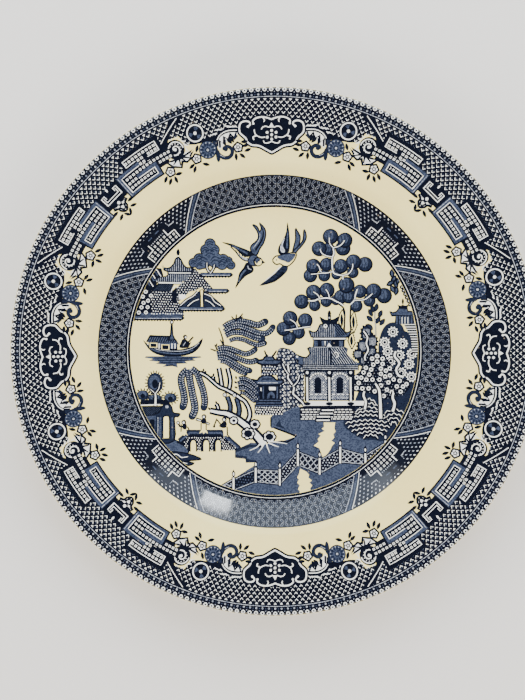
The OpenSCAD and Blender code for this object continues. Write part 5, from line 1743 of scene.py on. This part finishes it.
class PlateForm(bpy.types.PropertyGroup):
    """Sizes of the ware, as on its drawing."""
    wall: bpy.props.FloatProperty(
        name="Wall", description="Thickness of the wall, glaze included", default=0.0038, unit="LENGTH")
    glaze: bpy.props.FloatProperty(
        name="Glaze", description="Thickness of the clear glaze", default=0.0003, unit="LENGTH")
    hollow_radius: bpy.props.FloatProperty(
        name="Hollow radius", description="Curve between the well and the verge", default=0.022,
        unit="LENGTH")
    verge_angle: bpy.props.FloatProperty(
        name="Verge slope", description="Slope of the verge", default=math.radians(28), unit="ROTATION")
    verge_length: bpy.props.FloatProperty(
        name="Verge length", description="Straight length of the verge", default=0.0128, unit="LENGTH")
    shoulder_radius: bpy.props.FloatProperty(
        name="Shoulder radius", description="Curve between the verge and the rim", default=0.016,
        unit="LENGTH")
    foot_offset: bpy.props.FloatProperty(
        name="Foot offset", description="From the edge of the well to the foot", default=0.003,
        unit="LENGTH")
    foot_root: bpy.props.FloatProperty(
        name="Foot root", description="Width of the foot at the base", default=0.007, unit="LENGTH")
    segments: bpy.props.IntProperty(
        name="Segments", description="Divisions round the plate", default=360, min=24)


class PlatePrint(bpy.types.PropertyGroup):
    """Colours and lie of the print."""
    bare_ware: bpy.props.FloatVectorProperty(
        name="Ware", description="Unprinted ware under the glaze", default=(0.95, 0.81, 0.33),
        subtype="COLOR", size=3)
    stained_ware: bpy.props.FloatVectorProperty(
        name="Stained ware", description="Ware between lines of ink", default=(0.76, 0.78, 0.8),
        subtype="COLOR", size=3)
    dark_ink: bpy.props.FloatVectorProperty(
        name="Dark ink", description="Thickest ink", default=(0.002, 0.0028, 0.0075), subtype="COLOR", size=3)
    deep_ink: bpy.props.FloatVectorProperty(
        name="Deep ink", description="Close lines of ink", default=(0.006, 0.009, 0.021),
        subtype="COLOR", size=3)
    mid_ink: bpy.props.FloatVectorProperty(name="Middle ink", description="Stippled ink",
                                           default=(0.0135, 0.0195, 0.041), subtype="COLOR", size=3)
    pale_ink: bpy.props.FloatVectorProperty(
        name="Pale ink", description="Thin ink", default=(0.085, 0.105, 0.165), subtype="COLOR", size=3)
    border_turn: bpy.props.FloatProperty(
        name="Border turn", description="Turn of the border, clockwise", default=math.radians(-0.45),
        unit="ROTATION")
    border_slip: bpy.props.FloatProperty(
        name="Border slip", description="How unevenly the border was laid", default=math.radians(1.0),
        unit="ROTATION")


# ---- Operators ----

RIM_PIECES = {
    "edge_beads": "edge_bead_print", "rim_lattice": "rim_lattice_print",
    "rim_cartouches": "rim_cartouche_prints", "rim_roundels": "rim_roundel_prints",
    "rim_rosettes": "rim_rosette_prints", "rim_scrolls": "rim_scroll_prints",
    "rim_dark_frets": "rim_dark_fret_prints", "rim_blue_frets": "rim_blue_fret_prints",
    "rim_hook_frets": "rim_hook_fret_prints", "rim_flowers": "rim_flower_prints",
}
WELL_PIECES = {
    "trellis": "trellis_print", "trellis_panels": "trellis_panel_prints",
    "well_lines": "well_line_print",
}


def lay_prints(patches, names, section, lie=None):
    for name, node in names.items():
        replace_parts(film(name, patches[name], section, lie), node)


class PLATE_OT_ware(bpy.types.Operator):
    """Build the glazed ware and finish the bare foot"""
    bl_idname = "plate.ware"
    bl_label = "Glazed ware"

    def execute(self, context):
        form = context.scene.plate_form
        section = Section(form)
        glaze = form.glaze / MM
        skin = section.face(0) + section.lip(0, -90 + section.rim) + section.back(0)
        seat = section.face(glaze) + section.lip(glaze, -90 + section.rim) + section.back(glaze)
        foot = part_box("main_glaze")[0][2] / MM
        root_r = skin[-1][0]
        foot_r = section.foot_c + FOOT_EDGE
        reach = (skin[-1][1] - foot) / skin[-1][1]
        edge = (root_r + (foot_r - root_r) * reach, foot)
        piece = lathe("glazed_ware", skin + [edge] + seat[::-1], form.segments)
        ware = glazed("glazed_ware", (*context.scene.plate_print.bare_ware, 1), 0.35)
        piece.data.materials.append(ware)
        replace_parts(piece, "main_glaze")
        for node, material in (("foot_recess_glaze", ware), ("biscuit_body", bare_clay())):
            mesh = frame["nodes"][node].data
            mesh.materials.clear()
            mesh.materials.append(material)
        return {"FINISHED"}


class PLATE_OT_rim_print(bpy.types.Operator):
    """Print the rim border: beads, lattice, cartouches, scrolls, frets and flowers"""
    bl_idname = "plate.rim_print"
    bl_label = "Rim border"

    def execute(self, context):
        section = Section(context.scene.plate_form)
        lay_prints(band_art(draw_rim, RIM_IN, PLATE_R, section), RIM_PIECES, section, drift)
        return {"FINISHED"}


class PLATE_OT_well_print(bpy.types.Operator):
    """Print the trellis band, its corner panels and the line round the landscape"""
    bl_idname = "plate.well_print"
    bl_label = "Trellis band"

    def execute(self, context):
        section = Section(context.scene.plate_form)
        lay_prints(band_art(draw_trellis, WELL_IN, TRELLIS_OUT, section), WELL_PIECES, section, drift)
        return {"FINISHED"}


class PLATE_OT_scene_print(bpy.types.Operator):
    """Print the landscape in the well"""
    bl_idname = "plate.scene_print"
    bl_label = "Landscape"

    def execute(self, context):
        section = Section(context.scene.plate_form)
        art = Artwork()
        draw_landscape(art)
        for radius in section.creases():
            if radius < LINE_OUT - 1.2:
                art.bend(radius, 0, 360)
        lay_prints(art.patches(art.field), SCENE_PIECES, section)
        return {"FINISHED"}


class PLATE_OT_stage(bpy.types.Operator):
    """Set the plate on a pale floor under soft light, seen from above"""
    bl_idname = "plate.stage"
    bl_label = "Stage"

    def execute(self, context):
        bpy.ops.mesh.primitive_plane_add(size=6)
        floor = context.active_object
        floor.name = "floor"
        material, tree, shader = principled("pale_floor")
        shader.inputs["Base Color"].default_value = (0.72, 0.70, 0.68, 1)
        shader.inputs["Roughness"].default_value = 0.7
        floor.data.materials.append(material)
        for name, place, size, power, colour in LAMPS:
            data = bpy.data.lights.new(name, "AREA")
            data.shape = "RECTANGLE"
            data.size, data.size_y = size
            data.energy = power
            data.color = colour
            lamp = bpy.data.objects.new(name, data)
            lamp.location = place
            lamp.rotation_euler = Vector(place).to_track_quat("Z", "Y").to_euler()
            context.scene.collection.objects.link(lamp)
        world = bpy.data.worlds.new("studio")
        world.use_nodes = True
        world.node_tree.nodes["Background"].inputs["Color"].default_value = (0.86, 0.93, 1, 1)
        world.node_tree.nodes["Background"].inputs["Strength"].default_value = 0.06
        context.scene.world = world
        lens = bpy.data.cameras.new("camera")
        lens.sensor_width = 36
        lens.lens = CAMERA_LENS
        camera = bpy.data.objects.new("camera", lens)
        camera.location = CAMERA_AT
        context.scene.collection.objects.link(camera)
        context.scene.camera = camera
        return {"FINISHED"}


CAMERA_AT, CAMERA_LENS = (-0.006, 0.00065, 0.3262), 32

# Name, place, size (both in metres), power and colour of each lamp. The four wide ones
# stand low, so that seen from above the face doesn't mirror them. The small ones make glints.
COOL, WARM = (0.92, 0.97, 1), (1, 0.95, 0.88)
LAMPS = (
    ("window", (0.05, 1.0, 1.15), (1.5, 0.7), 10, (0.72, 0.85, 1)),
    ("window_wall", (0, 1.35, 0.7), (2.5, 0.6), 50, COOL),
    ("room", (0, -1.35, 0.7), (2.5, 0.6), 41, WARM),
    ("left_wall", (-1.35, 0, 0.7), (2.4, 0.6), 34, WARM),
    ("right_wall", (1.35, 0, 0.7), (2.4, 0.6), 32, WARM),
    ("left_glint", (0.304, 0.724, 0.978), (0.14, 0.05), 0.9, COOL),
    ("right_glint", (-0.469, 0.561, 1.017), (0.16, 0.06), 0.08, COOL),
)


class PLATE_PT_panel(bpy.types.Panel):
    """Plate tools"""
    bl_label = "Plate"
    bl_idname = "PLATE_PT_panel"
    bl_space_type = "VIEW_3D"
    bl_region_type = "UI"
    bl_category = "Plate"

    def draw(self, context):
        for step in STEPS:
            self.layout.operator(step.bl_idname)
        for group in (context.scene.plate_form, context.scene.plate_print):
            for key in group.__annotations__:
                self.layout.prop(group, key)


STEPS = (PLATE_OT_ware, PLATE_OT_rim_print, PLATE_OT_well_print, PLATE_OT_scene_print, PLATE_OT_stage)
CLASSES = (PlateForm, PlatePrint, *STEPS, PLATE_PT_panel)


def register():
    for cls in CLASSES:
        bpy.utils.register_class(cls)
    bpy.types.Scene.plate_form = bpy.props.PointerProperty(type=PlateForm)
    bpy.types.Scene.plate_print = bpy.props.PointerProperty(type=PlatePrint)


def unregister():
    del bpy.types.Scene.plate_print
    del bpy.types.Scene.plate_form
    for cls in reversed(CLASSES):
        bpy.utils.unregister_class(cls)


def main():
    register()
    bpy.ops.plate.ware()
    bpy.ops.plate.rim_print()
    bpy.ops.plate.well_print()
    bpy.ops.plate.scene_print()
    bpy.ops.plate.stage()


if __name__ == "__main__":
    main()
